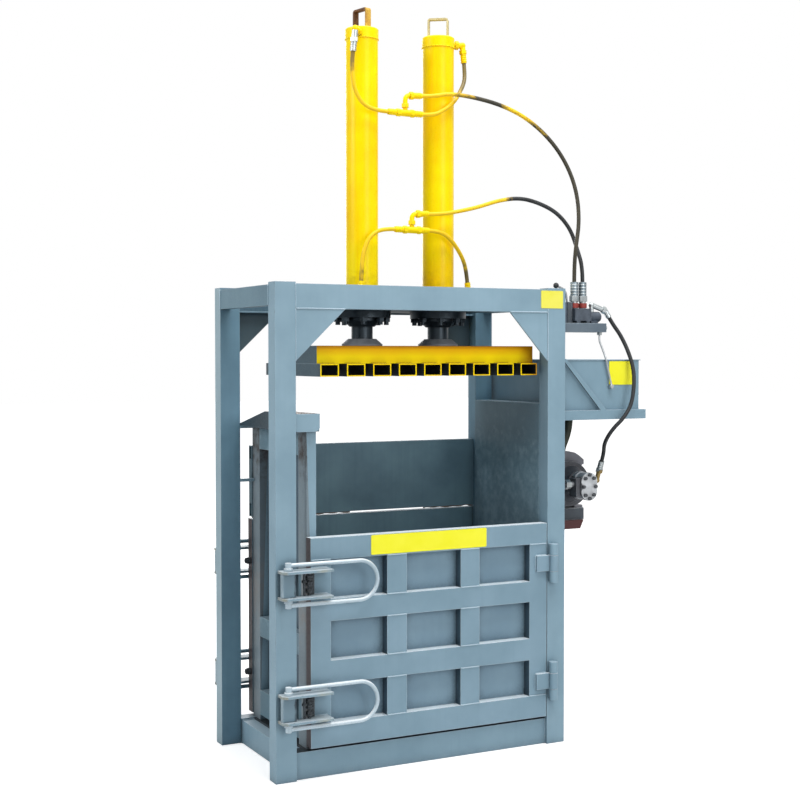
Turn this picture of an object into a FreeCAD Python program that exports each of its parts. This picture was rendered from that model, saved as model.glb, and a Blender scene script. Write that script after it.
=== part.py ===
import FreeCAD, Part
import math
import os
from FreeCAD import Vector

# Vertical recycling baler: a welded frame round a bale chamber, pressed from above by two
# hydraulic cylinders. Millimetres, +Z up, floor at z = 0.
# Origin: centre of the frame's footprint, on the floor. The front door faces -Y.

# ---------------------------------------------------------------- driving dimensions
FRAME_W = 1300.0                   # over the posts, along X
FRAME_D = 660.0                    # over the posts, along Y
FRAME_H = 1900.0                   # floor to post tops
POST_X = 85.0
POST_Y = 65.0
POST_WALL = 5.0

BEAM_WALL = 6.0
CROSS_BEAM_H = 94.0                # front and rear top beams
CROSS_BEAM_TOP = FRAME_H - 6.0
CROSS_BEAM_FLANGE = 50.0
SIDE_BEAM_H = 79.0
SIDE_BEAM_TOP = FRAME_H - 9.0
SIDE_BEAM_FLANGE = 45.0
GUSSET_T = 8.0
GUSSET_LEFT = (208.0, 200.0)       # legs along the beam and down the post
GUSSET_RIGHT = (183.0, 202.0)
GUSSET_REAR_LEFT = (194.0, 184.0)
GUSSET_REAR_RIGHT = (225.0, 250.0)
GUSSET_SLOT = 2.0                  # outer face of a gusset behind the outer face of its post

BASE_BEAM_H = 105.0
BASE_BEAM_D = 60.0
BASE_BEAM_SETBACK = 15.0
BASE_SIDE_H = 97.0
BASE_SIDE_W = 80.0
FLOOR_T = 8.0
FLOOR_BAR_T = 7.0
BEARER_W = 60.0
BEARER_PITCH = 170.0

DOOR_X0 = -506.0
DOOR_X1 = 562.0
DOOR_Z0 = 117.0
DOOR_Z1 = 926.0
REAR_DOOR_Z1 = 935.0
DOOR_DEPTH = 40.0                  # pressed frame, without its inner skin
SKIN_T = 4.0
PANEL_XS = ((-422.0, -180.0), (-93.0, 151.0), (239.0, 478.0))
PANEL_ZS = ((210.0, 360.0), (450.0, 602.0), (688.0, 841.0))
PRESSED_WALL = 4.0
SEAT_GAP = 1.0                     # between a closed door and the chamber's corner posts

WALL_POST_X = 40.0
WALL_POST_Y = 80.0
WALL_POST_OUT = -503.0             # outer face of the left wall's corner posts
WALL_RIBS = ((127.0, 230.0), (455.0, 537.0), (1235.0, 1320.0))
CAP_Z0 = 1331.0
CAP_Z1 = 1400.0
CAP_IN = -460.0
CAP_SLOPE_Y = (-10.0, 292.0)
TIE_Z = 1096.0                     # lower flat tie from the rear frame post to the wall
RIGHT_RIBS = ((105.0, 190.0), (455.0, 537.0), (850.0, 930.0), (1335.0, 1420.0))
RIGHT_SKIN_X = 567.0
PANEL_BOTTOM = 945.0
PANEL_TOP = 1243.0

HINGE_X = 585.0
HINGE_OUT = 19.0                   # axis ahead of the post's face
HINGE_R = 18.0
HINGE_PIN_R = 8.0
HINGE_ZS = (268.0, 760.0)
KNUCKLE_H = 66.0
KNUCKLE_GAP = 1.0
FIXED_KNUCKLE_H = 46.0
HINGE_BLOCK_X = 507.0
HINGE_BLOCK_T = 13.0
RUNNING = 0.05                     # radial clearance of a pin or rod in its bore

LATCH_ZS = (288.0, 757.5)
LATCH_X = -612.0                   # axis of the latch shaft
LATCH_OUT = 34.0                   # axis ahead of the post's face
LATCH_ROD_R = 8.0
LATCH_BEND_R = 76.0
LATCH_REACH = 297.0                # straight leg from the shaft to the bend
LATCH_SHAFT_R = 12.0
CLEVIS_X = (-642.0, -437.0)
CLEVIS_DEPTH = 62.0
CLEVIS_T = 10.0
CLEVIS_GAP = 90.0
CLEVIS_AIR = 1.5                   # between a clevis plate and the face of the frame's post
CAM = (56.0, 26.0, 86.0)

CHAMBER_X = 48.0                   # middle of the chamber and of the cylinders
CYL_PITCH = 356.0
BARREL_R = 66.5
BORE_R = 55.0
BARREL_TOP = 2912.0
CAP_R = 68.5
CAP_TOP = 2955.0
FLANGE_R = 118.0
FLANGE_T = 30.0
CROWN_T = 20.0
CROWN_X = (-320.0, 465.0)
CROWN_CHANNELS = (-280.0, 48.0, 425.0)
FLANGE_PCD = 200.0
FLANGE_BOLTS = 8
BOLT_R = 10.0
NUT_AF = 30.0
GLAND_R = 78.0
GLAND_Z = (1740.0, 1776.0)
ROD_R = 44.0
COLLAR_R = 84.0
PISTON_H = 60.0
PISTON_TOP = 2895.0
LUG_LENGTH = 88.0
LUG_RISE = 82.0
LUG_BAR = (8.0, 25.0)
LUG_TURNS = (-77.0, -36.0)         # degrees from +X, seen from above

PLATEN_X = (-444.0, 540.0)
PLATEN_TOP = 1660.0
PLATEN_BOX_H = 70.0
PLATEN_BOX_Y = 250.0               # half depth of the box
PLATEN_WALL = 8.0
TUBE_COUNT = 9
TUBE_W = 79.0
TUBE_H = 50.0
TUBE_WALL = 5.0
TUBE_YS = (-284.0, 276.0)

HOSE_R = 8.5
FERRULE_R = 12.0
FERRULE_L = 38.0
HOSE_NUT_AF = 28.0
HOSE_NUT_L = 16.0
PORT_R = 14.0
PORT_ZS = (1868.0, 2929.0)
PORTS_UPPER = ((-127.0, 131.0), (-13.0, 106.0))    # angle seen from above, cylinder axis to the elbow
PORTS_LOWER = ((-118.0, 118.0), (-12.0, 137.0))
TEE_Y = -106.0
TEE_UPPER = (15.0, 2610.0, 72.0)   # x and z of the run, height of the elbow above it
TEE_LOWER = (46.0, 2136.0, 66.0)
TEE_BEND = 20.0                    # radius of the bend above a tee
VALVE_FERRULE_R = 17.0

VALVE_Y = -250.0
VALVE_PORTS = (748.0, 790.0)
LEVER_X = 713.0
LEVER_Z = 1800.0
LEVER_PIN_R = 4.0
TANK_X = (662.0, 1054.0)
TANK_Y = (-300.0, 312.0)
TANK_Z = (1390.0, 1600.0)
TANK_WALL = 3.0
SHELF_X1 = 1072.0
SHELF_H = 40.0
MOTOR_X = 848.0
MOTOR_Z = 1056.0
MOTOR_R = 100.0

X0 = -FRAME_W / 2
X1 = FRAME_W / 2
Y0 = -FRAME_D / 2
Y1 = FRAME_D / 2
POST_TOP_CAP = 5.0
CYL_XS = (CHAMBER_X - CYL_PITCH / 2, CHAMBER_X + CYL_PITCH / 2)
CROWN_Z = CROSS_BEAM_TOP - CROSS_BEAM_H + BEAM_WALL
FLOOR_Z = BASE_SIDE_H + FLOOR_T
DOOR_INNER = -Y0 - DOOR_DEPTH - SKIN_T      # distance of a door's inner face from y = 0
TUBE_PITCH = (PLATEN_X[1] - PLATEN_X[0] - TUBE_W) / (TUBE_COUNT - 1)
TUBE_XS = [PLATEN_X[0] + TUBE_PITCH * i for i in range(TUBE_COUNT)]

PARTS = {}
ROUTES = {}


# ---------------------------------------------------------------- helpers
def box(xs, ys, zs):
    low = Vector(min(xs), min(ys), min(zs))
    return Part.makeBox(max(xs) - low.x, max(ys) - low.y, max(zs) - low.z, low)


def rod(start, axis, radius, length):
    return Part.makeCylinder(radius, length, Vector(*start), Vector(*axis))


def cone(start, axis, r0, r1, length):
    return Part.makeCone(r0, r1, length, Vector(*start), Vector(*axis))


def extrude(points, along):
    """A flat outline of straight sides, pushed along a vector."""
    corners = [Vector(*p) for p in points]
    face = Part.Face(Part.makePolygon(corners + corners[:1]))
    return face.extrude(Vector(*along))


def hexagon(start, axis, across_flats, length):
    """A hexagonal nut or bolt head standing on start along axis."""
    radius = across_flats / math.sqrt(3)
    corners = [Vector(radius * math.cos(a), radius * math.sin(a), 0)
               for a in (math.radians(60 * i) for i in range(7))]
    prism = Part.Face(Part.makePolygon(corners)).extrude(Vector(0, 0, length))
    turn = FreeCAD.Rotation(Vector(0, 0, 1), Vector(*axis))
    prism.Placement = FreeCAD.Placement(Vector(*start), turn)
    return prism


def fuse(solids):
    solids = list(solids)
    return solids[0].multiFuse(solids[1:]).removeSplitter() if len(solids) > 1 else solids[0]


def group(solids):
    return Part.makeCompound(list(solids))


def mirror_y(shape):
    return shape.mirror(Vector(0, 0, 0), Vector(0, 1, 0))


def square_tube(xs, ys, zs, wall, along):
    """A rectangular hollow section open at both ends, running along one axis."""
    spans = [xs, ys, zs]
    inner = [(s[0] + wall, s[1] - wall) for s in spans]
    inner[along] = (spans[along][0] - 1, spans[along][1] + 1)
    return box(*spans).cut(box(*inner))


def channel_beam(along, run, web_at, inward, flange, zs, wall):
    """A rolled channel: its web stands at web_at and its flanges reach inward."""
    web = (web_at, web_at + inward * wall)
    reach = (web_at, web_at + inward * flange)
    low = (zs[0], zs[0] + wall)
    high = (zs[1] - wall, zs[1])
    spans = [(web, zs), (reach, low), (reach, high)]
    if along == "x":
        return fuse(box(run, across, z) for across, z in spans)
    return fuse(box(across, run, z) for across, z in spans)


# ---------------------------------------------------------------- frame
def corner_post(right, rear):
    xs = (X1 - POST_X, X1) if right else (X0, X0 + POST_X)
    ys = (Y1 - POST_Y, Y1) if rear else (Y0, Y0 + POST_Y)
    tube = square_tube(xs, ys, (0, FRAME_H), POST_WALL, 2)
    lid = box(xs, ys, (FRAME_H - POST_TOP_CAP, FRAME_H))
    return fuse([tube, lid])


def top_beams():
    zs = (CROSS_BEAM_TOP - CROSS_BEAM_H, CROSS_BEAM_TOP)
    run = (X0 + POST_X, X1 - POST_X)
    front = channel_beam("x", run, Y0, 1, CROSS_BEAM_FLANGE, zs, BEAM_WALL)
    PARTS["top_beams_cross"] = group([front, mirror_y(front)])
    zs = (SIDE_BEAM_TOP - SIDE_BEAM_H, SIDE_BEAM_TOP)
    run = (Y0 + POST_Y, Y1 - POST_Y)
    left = channel_beam("y", run, X0, 1, SIDE_BEAM_FLANGE, zs, BEAM_WALL)
    right = channel_beam("y", run, X1, -1, SIDE_BEAM_FLANGE, zs, BEAM_WALL)
    PARTS["top_beams_side"] = group([left, right])


def gussets():
    plates = []
    under = CROSS_BEAM_TOP - CROSS_BEAM_H
    rear = Y1 - GUSSET_SLOT - GUSSET_T
    for face, left_legs, right_legs in ((Y0 + GUSSET_SLOT, GUSSET_LEFT, GUSSET_RIGHT),
                                        (rear, GUSSET_REAR_LEFT, GUSSET_REAR_RIGHT)):
        for corner, way, legs in ((X0 + POST_X, 1, left_legs), (X1 - POST_X, -1, right_legs)):
            outline = [(corner, face, under), (corner + way * legs[0], face, under),
                       (corner, face, under - legs[1])]
            plates.append(extrude(outline, (0, GUSSET_T, 0)))
    PARTS["corner_gussets"] = group(plates)


def crown():
    depth = Y1 - BEAM_WALL
    plate = box(CROWN_X, (-depth, depth), (CROWN_Z, CROWN_Z + CROWN_T))
    for x in CYL_XS:
        plate = plate.cut(rod((x, 0, CROWN_Z - 1), (0, 0, 1), BARREL_R + 1, CROWN_T + 2))
        for bolt_x, bolt_y in bolt_circle(x):
            hole = rod((bolt_x, bolt_y, CROWN_Z - 1), (0, 0, 1), BOLT_R + RUNNING, CROWN_T + 2)
            plate = plate.cut(hole)
    PARTS["crown_plate"] = plate
    half = Y1 - CROSS_BEAM_FLANGE - 2
    zs = (CROWN_Z + CROWN_T, CROSS_BEAM_TOP - BEAM_WALL - 2)
    bars = [square_tube((x - 30, x + 30), (-half, half), zs, BEAM_WALL, 1) for x in CROWN_CHANNELS]
    PARTS["crown_channels"] = group(bars)


def base():
    front_y = Y0 + BASE_BEAM_SETBACK
    front = square_tube((X0 + POST_X, X1 - POST_X), (front_y, front_y + BASE_BEAM_D),
                        (0, BASE_BEAM_H), POST_WALL, 0)
    PARTS["base_beams_cross"] = group([front, mirror_y(front)])
    half = -(front_y + BASE_BEAM_D)
    inside = X0 + POST_X + 3
    sides = []
    for xs in ((inside, inside + BASE_SIDE_W), (-inside - BASE_SIDE_W, -inside)):
        sides.append(square_tube(xs, (-half, half), (0, BASE_SIDE_H), POST_WALL, 1))
    PARTS["base_beams_side"] = group(sides)
    reach = -inside - BASE_SIDE_W
    bearers = []
    for i in (-1, 0, 1):
        y = BEARER_PITCH * i
        ys = (y - BEARER_W / 2, y + BEARER_W / 2)
        bearers.append(square_tube((-reach, reach), ys, (0, BASE_SIDE_H), POST_WALL, 0))
    PARTS["floor_bearers"] = group(bearers)
    floor = box((WALL_POST_OUT - 8, X1 - POST_X), (-half, half), (BASE_SIDE_H, FLOOR_Z))
    bars = [box((x, x + TUBE_W), (-DOOR_INNER, DOOR_INNER), (FLOOR_Z, FLOOR_Z + FLOOR_BAR_T))
            for x in TUBE_XS]
    PARTS["chamber_floor"] = fuse([floor] + bars)


# ---------------------------------------------------------------- chamber walls
def left_wall():
    face = DOOR_INNER - SEAT_GAP
    xs = (WALL_POST_OUT, WALL_POST_OUT + WALL_POST_X)
    rear = square_tube(xs, (face - WALL_POST_Y, face), (FLOOR_Z, CAP_Z0), POST_WALL, 2)
    PARTS["left_wall_posts"] = group([mirror_y(rear), rear])
    half = face - WALL_POST_Y
    inner = WALL_POST_OUT + WALL_POST_X
    pieces = [box((inner - SKIN_T, inner), (-half, half), (WALL_RIBS[0][0], WALL_RIBS[-1][1]))]
    for zs in WALL_RIBS:
        pieces.append(channel_rib(WALL_POST_OUT, inner - SKIN_T, (-half, half), zs))
    PARTS["left_wall_panel"] = fuse(pieces)


def channel_rib(outer, skin, ys, zs):
    """A pressed channel lying against a wall's skin, open towards the skin."""
    web = outer + math.copysign(SKIN_T, skin - outer)
    return fuse([box((outer, web), ys, zs), box((outer, skin), ys, (zs[0], zs[0] + SKIN_T)),
                 box((outer, skin), ys, (zs[1] - SKIN_T, zs[1]))])


def left_wall_cap():
    """Folded cover on the left wall: a box open below, its top sloping down at the rear."""
    outer = X0 + POST_X
    low_y = -Y1 + BASE_BEAM_SETBACK
    flat_y, end_y = CAP_SLOPE_Y

    def side(inset):
        return [(low_y + inset, CAP_Z0 - inset), (low_y + inset, CAP_Z1 - inset),
                (flat_y, CAP_Z1 - inset), (end_y - inset, CAP_Z0 + SKIN_T), (end_y - inset, CAP_Z0 - inset)]

    skin = extrude([(outer, y, z) for y, z in side(0)], (CAP_IN - outer, 0, 0))
    hollow = extrude([(outer + SKIN_T, y, z) for y, z in side(SKIN_T)], (CAP_IN - outer - 2 * SKIN_T, 0, 0))
    slot = box((outer + 8, outer + 55), (-205, -150), (CAP_Z1 - 10, CAP_Z1 + 1))
    corner = extrude([(CAP_IN - 14, low_y - 1, CAP_Z0 - 1), (CAP_IN + 1, low_y - 1, CAP_Z0 - 1),
                      (CAP_IN + 1, low_y - 1, CAP_Z0 + 14)], (0, SKIN_T + 2, 0))
    ties = [box((outer, WALL_POST_OUT), (Y1 - POST_Y, DOOR_INNER - SEAT_GAP), (z, z + 12))
            for z in (TIE_Z, CAP_Z0 - 12)]
    PARTS["left_wall_cap"] = group([skin.cut(hollow).cut(slot).cut(corner)] + ties)


def right_wall():
    half = Y1 - POST_Y
    skin = box((RIGHT_SKIN_X - SKIN_T, RIGHT_SKIN_X), (-half, half), (FLOOR_Z, RIGHT_RIBS[-1][1]))
    ribs = [channel_rib(X1, RIGHT_SKIN_X, (-half, half), zs) for zs in RIGHT_RIBS]
    PARTS["right_wall_panel"] = fuse([skin] + ribs)


def rear_panel():
    """Fixed panel above the rear door, stiffened like the door."""
    xs = (DOOR_X0, X1 - POST_X)
    inner = DOOR_INNER - SEAT_GAP
    outer = inner + SKIN_T
    skin = box(xs, (inner, outer), (PANEL_BOTTOM, PANEL_TOP))
    ys = (outer, outer + 30)
    bars = [square_tube(xs, ys, zs, PRESSED_WALL, 0)
            for zs in ((PANEL_BOTTOM, PANEL_BOTTOM + 60), (PANEL_TOP - 60, PANEL_TOP))]
    zs = (PANEL_BOTTOM + 60, PANEL_TOP - 60)
    for x in (DOOR_X0, PANEL_XS[0][1], PANEL_XS[1][1], X1 - POST_X - 86):
        bars.append(square_tube((x, x + 86), ys, zs, PRESSED_WALL, 2))
    PARTS["rear_upper_panel"] = fuse([skin] + bars)


# ---------------------------------------------------------------- doors, hinges and latches
def hinge_axis_y():
    return Y0 - HINGE_OUT


def door_leaf(top):
    """Pressed frame with nine deep panels and the plain skin behind them."""
    ys = (Y0, Y0 + DOOR_DEPTH)
    frame = box((DOOR_X0, DOOR_X1), ys, (DOOR_Z0, top))
    for xs in PANEL_XS:
        for zs in PANEL_ZS:
            frame = frame.cut(box(xs, (ys[0] - 1, ys[1] + 1), zs))
    frame = frame.cut(door_grooves(top))
    skin = box((DOOR_X0, DOOR_X1), (ys[1], ys[1] + SKIN_T), (DOOR_Z0, top))
    return frame, skin


def door_grooves(top):
    """The hollow behind each pressed stile and rail."""
    ys = (Y0 + PRESSED_WALL, Y0 + DOOR_DEPTH + 1)
    wall = PRESSED_WALL
    xs_edges = [DOOR_X0] + [x for pair in PANEL_XS for x in pair] + [DOOR_X1]
    zs_edges = [DOOR_Z0] + [z for pair in PANEL_ZS for z in pair] + [top]
    stiles = [(xs_edges[i] + wall, xs_edges[i + 1] - wall) for i in (0, 2, 4, 6)]
    rails = [(zs_edges[i] + wall, zs_edges[i + 1] - wall) for i in (0, 2, 4, 6)]
    grooves = [box(xs, ys, (DOOR_Z0 + wall, top - wall)) for xs in stiles]
    grooves += [box((DOOR_X0 + wall, DOOR_X1 - wall), ys, zs) for zs in rails]
    return fuse(grooves)


def door_knuckle(z):
    """Middle knuckle of a hinge and the block that joins it to the door's face."""
    zs = (z - KNUCKLE_H / 2, z + KNUCKLE_H / 2)
    block = box((HINGE_BLOCK_X, HINGE_X), (Y0 - HINGE_BLOCK_T, Y0), zs)
    corner = box((DOOR_X1, HINGE_X), (hinge_axis_y() + HINGE_R, Y0), zs)
    barrel = rod((HINGE_X, hinge_axis_y(), zs[0]), (0, 0, 1), HINGE_R, KNUCKLE_H)
    bore = rod((HINGE_X, hinge_axis_y(), zs[0] - 1), (0, 0, 1), HINGE_PIN_R + RUNNING, KNUCKLE_H + 2)
    return fuse([block.cut(corner), barrel]).cut(bore)


def fixed_knuckles(z):
    """Upper and lower knuckles welded to the post, and the pin that they hold."""
    gap = KNUCKLE_H / 2 + KNUCKLE_GAP
    pieces = []
    for low in (z - gap - FIXED_KNUCKLE_H, z + gap):
        barrel = rod((HINGE_X, hinge_axis_y(), low), (0, 0, 1), HINGE_R, FIXED_KNUCKLE_H)
        pad = box((HINGE_X - 9, HINGE_X + 9), (hinge_axis_y(), Y0), (low, low + FIXED_KNUCKLE_H))
        pieces += [barrel, pad]
    total = 2 * (gap + FIXED_KNUCKLE_H)
    pieces.append(rod((HINGE_X, hinge_axis_y(), z - total / 2), (0, 0, 1), HINGE_PIN_R, total))
    return fuse(pieces)


def clevis_plates(z):
    """Two plates on the door's stile that reach across the frame's post."""
    plates = []
    for low in (z - CLEVIS_GAP / 2 - CLEVIS_T, z + CLEVIS_GAP / 2):
        front = Y0 - CLEVIS_DEPTH
        outline = [(CLEVIS_X[0] + 16, front, low), (CLEVIS_X[1], front, low), (CLEVIS_X[1], Y0, low),
                   (DOOR_X0, Y0, low), (DOOR_X0, Y0 - CLEVIS_AIR, low),
                   (CLEVIS_X[0], Y0 - CLEVIS_AIR, low), (CLEVIS_X[0], front + 16, low)]
        plate = extrude(outline, (0, 0, CLEVIS_T))
        hole = rod((LATCH_X, Y0 - LATCH_OUT, low - 1), (0, 0, 1), LATCH_SHAFT_R + RUNNING, CLEVIS_T + 2)
        plates.append(plate.cut(hole))
    return plates


def side_bolt(z):
    """Hexagon bolt through the stile, its head on the door's left edge."""
    y = Y0 + DOOR_DEPTH / 2
    shank = rod((DOOR_X0 - 18, y, z), (-1, 0, 0), 6.5, 6)
    return [fuse([hexagon((DOOR_X0 - 13, y, z), (-1, 0, 0), 22, 8), shank,
                  rod((DOOR_X0, y, z), (-1, 0, 0), 14, 13)])]


def door(top):
    solids = list(door_leaf(top))
    solids += [door_knuckle(z) for z in HINGE_ZS]
    for z in LATCH_ZS:
        solids += clevis_plates(z) + side_bolt(z)
    return solids


def latch_handle(z, y):
    """U handle: a bent round bar on a shaft that also carries the cam block."""
    bend_x = LATCH_X + LATCH_REACH
    low, high = [Vector(bend_x, y, z + side * LATCH_BEND_R) for side in (-1, 1)]
    back = Vector(-LATCH_REACH, 0, 0)
    path = Part.Wire([Part.LineSegment(high + back, high).toShape(),
                      Part.Arc(high, Vector(bend_x + LATCH_BEND_R, y, z), low).toShape(),
                      Part.LineSegment(low, low + back).toShape()])
    section = Part.Wire(Part.Circle(high + back, Vector(1, 0, 0), LATCH_ROD_R).toShape())
    pieces = [path.makePipeShell([section], True, False)]
    shaft_half = LATCH_BEND_R + LATCH_ROD_R + 2
    pieces.append(rod((LATCH_X, y, z - shaft_half), (0, 0, 1), LATCH_SHAFT_R, 2 * shaft_half))
    collar_z = CLEVIS_GAP / 2 + CLEVIS_T + 1
    collar = LATCH_BEND_R - LATCH_ROD_R - 2 - collar_z
    for low in (z + collar_z, z - collar_z - collar):
        pieces.append(rod((LATCH_X, y, low), (0, 0, 1), LATCH_SHAFT_R + 5, collar))
    cam = box((LATCH_X - CAM[0] / 2, LATCH_X + CAM[0] / 2), (y - CAM[1] / 2, y + CAM[1] / 2),
              (z - CAM[2] / 2, z + CAM[2] / 2))
    edges = [e for e in cam.Edges if abs(e.Vertexes[0].Z - e.Vertexes[1].Z) > 1]
    pieces.append(cam.makeFillet(4, edges))
    return fuse(pieces)


def doors_and_latches():
    PARTS["front_door"] = group(door(DOOR_Z1))
    PARTS["rear_door"] = group(mirror_y(s) for s in door(REAR_DOOR_Z1))
    fixed = [fixed_knuckles(z) for z in HINGE_ZS]
    PARTS["post_hinge_knuckles"] = group(fixed + [mirror_y(s) for s in fixed])
    for level, z in zip(("lower", "upper"), LATCH_ZS):
        PARTS["latch_handle_front_" + level] = latch_handle(z, Y0 - LATCH_OUT)
        PARTS["latch_handle_rear_" + level] = latch_handle(z, Y1 + LATCH_OUT)


# ---------------------------------------------------------------- press
def bolt_circle(x):
    step = 2 * math.pi / FLANGE_BOLTS
    angles = [step * (i + 0.5) for i in range(FLANGE_BOLTS)]
    return [(x + FLANGE_PCD / 2 * math.cos(a), FLANGE_PCD / 2 * math.sin(a)) for a in angles]


def barrel(x):
    """Cylinder tube, open at the top for the end cap, and the flange ring welded round its foot."""
    flange_z = CROWN_Z - FLANGE_T
    tube = rod((x, 0, flange_z), (0, 0, 1), BARREL_R, BARREL_TOP - flange_z)
    tube = tube.cut(rod((x, 0, flange_z - 1), (0, 0, 1), BORE_R, BARREL_TOP - flange_z + 2))
    ring = rod((x, 0, flange_z), (0, 0, 1), FLANGE_R, FLANGE_T)
    ring = ring.cut(rod((x, 0, flange_z - 1), (0, 0, 1), BARREL_R, FLANGE_T + 2))
    for bolt_x, bolt_y in bolt_circle(x):
        ring = ring.cut(rod((bolt_x, bolt_y, flange_z - 1), (0, 0, 1), BOLT_R + RUNNING, FLANGE_T + 2))
    return group([tube, ring])


def flange_bolts():
    bolts = []
    for x in CYL_XS:
        for bolt_x, bolt_y in bolt_circle(x):
            top = CROWN_Z + CROWN_T
            low = CROWN_Z - FLANGE_T
            nut = 16.0
            head = hexagon((bolt_x, bolt_y, top), (0, 0, 1), NUT_AF, 12)
            shank = rod((bolt_x, bolt_y, low - nut - 13), (0, 0, 1), BOLT_R, top - low + nut + 13)
            bolts.append(fuse([head, shank, hexagon((bolt_x, bolt_y, low), (0, 0, -1), NUT_AF, nut)]))
    PARTS["flange_bolts"] = group(bolts)


def end_cap(x):
    cap = rod((x, 0, BARREL_TOP), (0, 0, 1), CAP_R, CAP_TOP - BARREL_TOP)
    rim = [e for e in cap.Edges if e.BoundBox.ZMin > CAP_TOP - 1 and e.Closed]
    return cap.makeChamfer(4, rim)


def lifting_lug(x, turn):
    """Flat bar bent into a square hoop and welded on the end cap."""
    thick, width = LUG_BAR
    half = LUG_LENGTH / 2
    outer = box((-half, half), (-width / 2, width / 2), (0, LUG_RISE))
    edges = [e for e in outer.Edges if e.BoundBox.ZMin > LUG_RISE - 1 and e.BoundBox.YLength > 1]
    outer = outer.makeFillet(12, edges)
    inner = box((-half + thick, half - thick), (-width, width), (-1, LUG_RISE - thick))
    lug = outer.cut(inner)
    lug.rotate(Vector(0, 0, 0), Vector(0, 0, 1), turn)
    lug.translate(Vector(x, 0, CAP_TOP))
    return lug


def gland(x):
    low, high = GLAND_Z
    ring = rod((x, 0, high - 12), (0, 0, 1), GLAND_R, 12)
    taper = cone((x, 0, low), (0, 0, 1), ROD_R + 8, GLAND_R, high - 12 - low)
    spigot = rod((x, 0, high), (0, 0, 1), BORE_R, 40)
    bore = rod((x, 0, low - 1), (0, 0, 1), ROD_R + RUNNING, high - low + 42)
    return fuse([ring, taper, spigot]).cut(bore)


def piston_rod(x):
    """Turned rod with a stepped nose for the piston, and the collar ring that holds it on the platen."""
    shaft = rod((x, 0, PLATEN_TOP), (0, 0, 1), ROD_R, PISTON_TOP - PISTON_H - PLATEN_TOP)
    nose = rod((x, 0, PISTON_TOP - PISTON_H), (0, 0, 1), ROD_R - 14, PISTON_H)
    foot = rod((x, 0, PLATEN_TOP), (0, 0, 1), COLLAR_R, 9)
    dome = cone((x, 0, PLATEN_TOP + 9), (0, 0, 1), COLLAR_R - 2, ROD_R + 14, 21)
    collar = fuse([foot, dome]).cut(rod((x, 0, PLATEN_TOP - 1), (0, 0, 1), ROD_R, 40))
    return [fuse([shaft, nose]), collar]


def piston(x):
    low = PISTON_TOP - PISTON_H
    disc = rod((x, 0, low), (0, 0, 1), BORE_R - RUNNING, PISTON_H)
    groove = rod((x, 0, low + 26), (0, 0, 1), BORE_R + 1, 8)
    groove = groove.cut(rod((x, 0, low + 26), (0, 0, 1), BORE_R - 5, 8))
    disc = disc.cut(groove)
    return disc.cut(rod((x, 0, low - 1), (0, 0, 1), ROD_R - 14, PISTON_H + 2))


def platen():
    low = PLATEN_TOP - PLATEN_BOX_H
    ys = (-PLATEN_BOX_Y, PLATEN_BOX_Y)
    wall = PLATEN_WALL
    shell = box(PLATEN_X, ys, (low, PLATEN_TOP))
    bays = []
    edges = [PLATEN_X[0], CYL_XS[0] - 70, CYL_XS[0] + 70, CYL_XS[1] - 70, CYL_XS[1] + 70, PLATEN_X[1]]
    for left, right in zip(edges, edges[1:]):
        bays.append(box((left + wall, right - wall), (ys[0] + wall, ys[1] - wall),
                        (low - 1, PLATEN_TOP - 2 * wall)))
    PARTS["platen_box"] = shell.cut(group(bays))
    tubes = [square_tube((x, x + TUBE_W), TUBE_YS, (low - TUBE_H, low), TUBE_WALL, 1)
             for x in TUBE_XS]
    PARTS["platen_tubes"] = group(tubes)


def press():
    PARTS["cylinder_barrel_left"] = barrel(CYL_XS[0])
    PARTS["cylinder_barrel_right"] = barrel(CYL_XS[1])
    PARTS["cylinder_end_caps"] = group(end_cap(x) for x in CYL_XS)
    PARTS["lifting_lugs"] = group(lifting_lug(x, t) for x, t in zip(CYL_XS, LUG_TURNS))
    PARTS["gland_nuts"] = group(gland(x) for x in CYL_XS)
    PARTS["piston_rods"] = group(piece for x in CYL_XS for piece in piston_rod(x))
    PARTS["pistons"] = group(piston(x) for x in CYL_XS)
    flange_bolts()
    platen()


# ---------------------------------------------------------------- hoses and fittings
def unit(vector):
    v = Vector(*vector)
    return v.multiply(1.0 / v.Length)


def cord_wire(points):
    """Straight runs joined by tangent arcs, and the radius of each arc."""
    pts = [Vector(*p) for p in points]
    edges = []
    radii = []
    start = pts[0]
    for before, corner, after in zip(pts, pts[1:], pts[2:]):
        u = (corner - before).normalize()
        w = (after - corner).normalize()
        turn = u.getAngle(w)
        cut = 0.45 * min((corner - before).Length, (after - corner).Length)
        radii.append(cut / math.tan(turn / 2))
        arc_start = corner - u * cut
        arc_end = corner + w * cut
        middle = (arc_start + arc_end) * 0.5
        inward = (middle - corner).normalize()
        sagitta = radii[-1] / math.cos(turn / 2) - radii[-1]
        edges.append(Part.LineSegment(start, arc_start).toShape())
        edges.append(Part.Arc(arc_start, corner + inward * sagitta, arc_end).toShape())
        start = arc_end
    edges.append(Part.LineSegment(start, pts[-1]).toShape())
    return Part.Wire(edges), radii


def hose(name, start, points, end, radius):
    """Hose between two fittings. Each end is its point, its direction and how far it runs straight."""
    route = [start[0], along(start), *points, along(end), end[0]]
    wire, radii = cord_wire(route)
    circle = Part.Wire(Part.Circle(Vector(*start[0]), unit(start[1]), radius).toShape())
    tube = wire.makePipeShell([circle], True, False)
    expected = math.pi * radius ** 2 * wire.Length
    print(name, "length", round(wire.Length, 1), "volume ratio", round(tube.Volume / expected, 4),
          "least radius", round(min(radii), 1), "radii", [round(r) for r in radii])
    PARTS[name] = tube
    ROUTES[name] = [tuple(round(c, 2) for c in p) for p in route]


def along(end):
    point, towards, run = end
    return tuple(Vector(*point) + unit(towards) * run)


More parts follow.
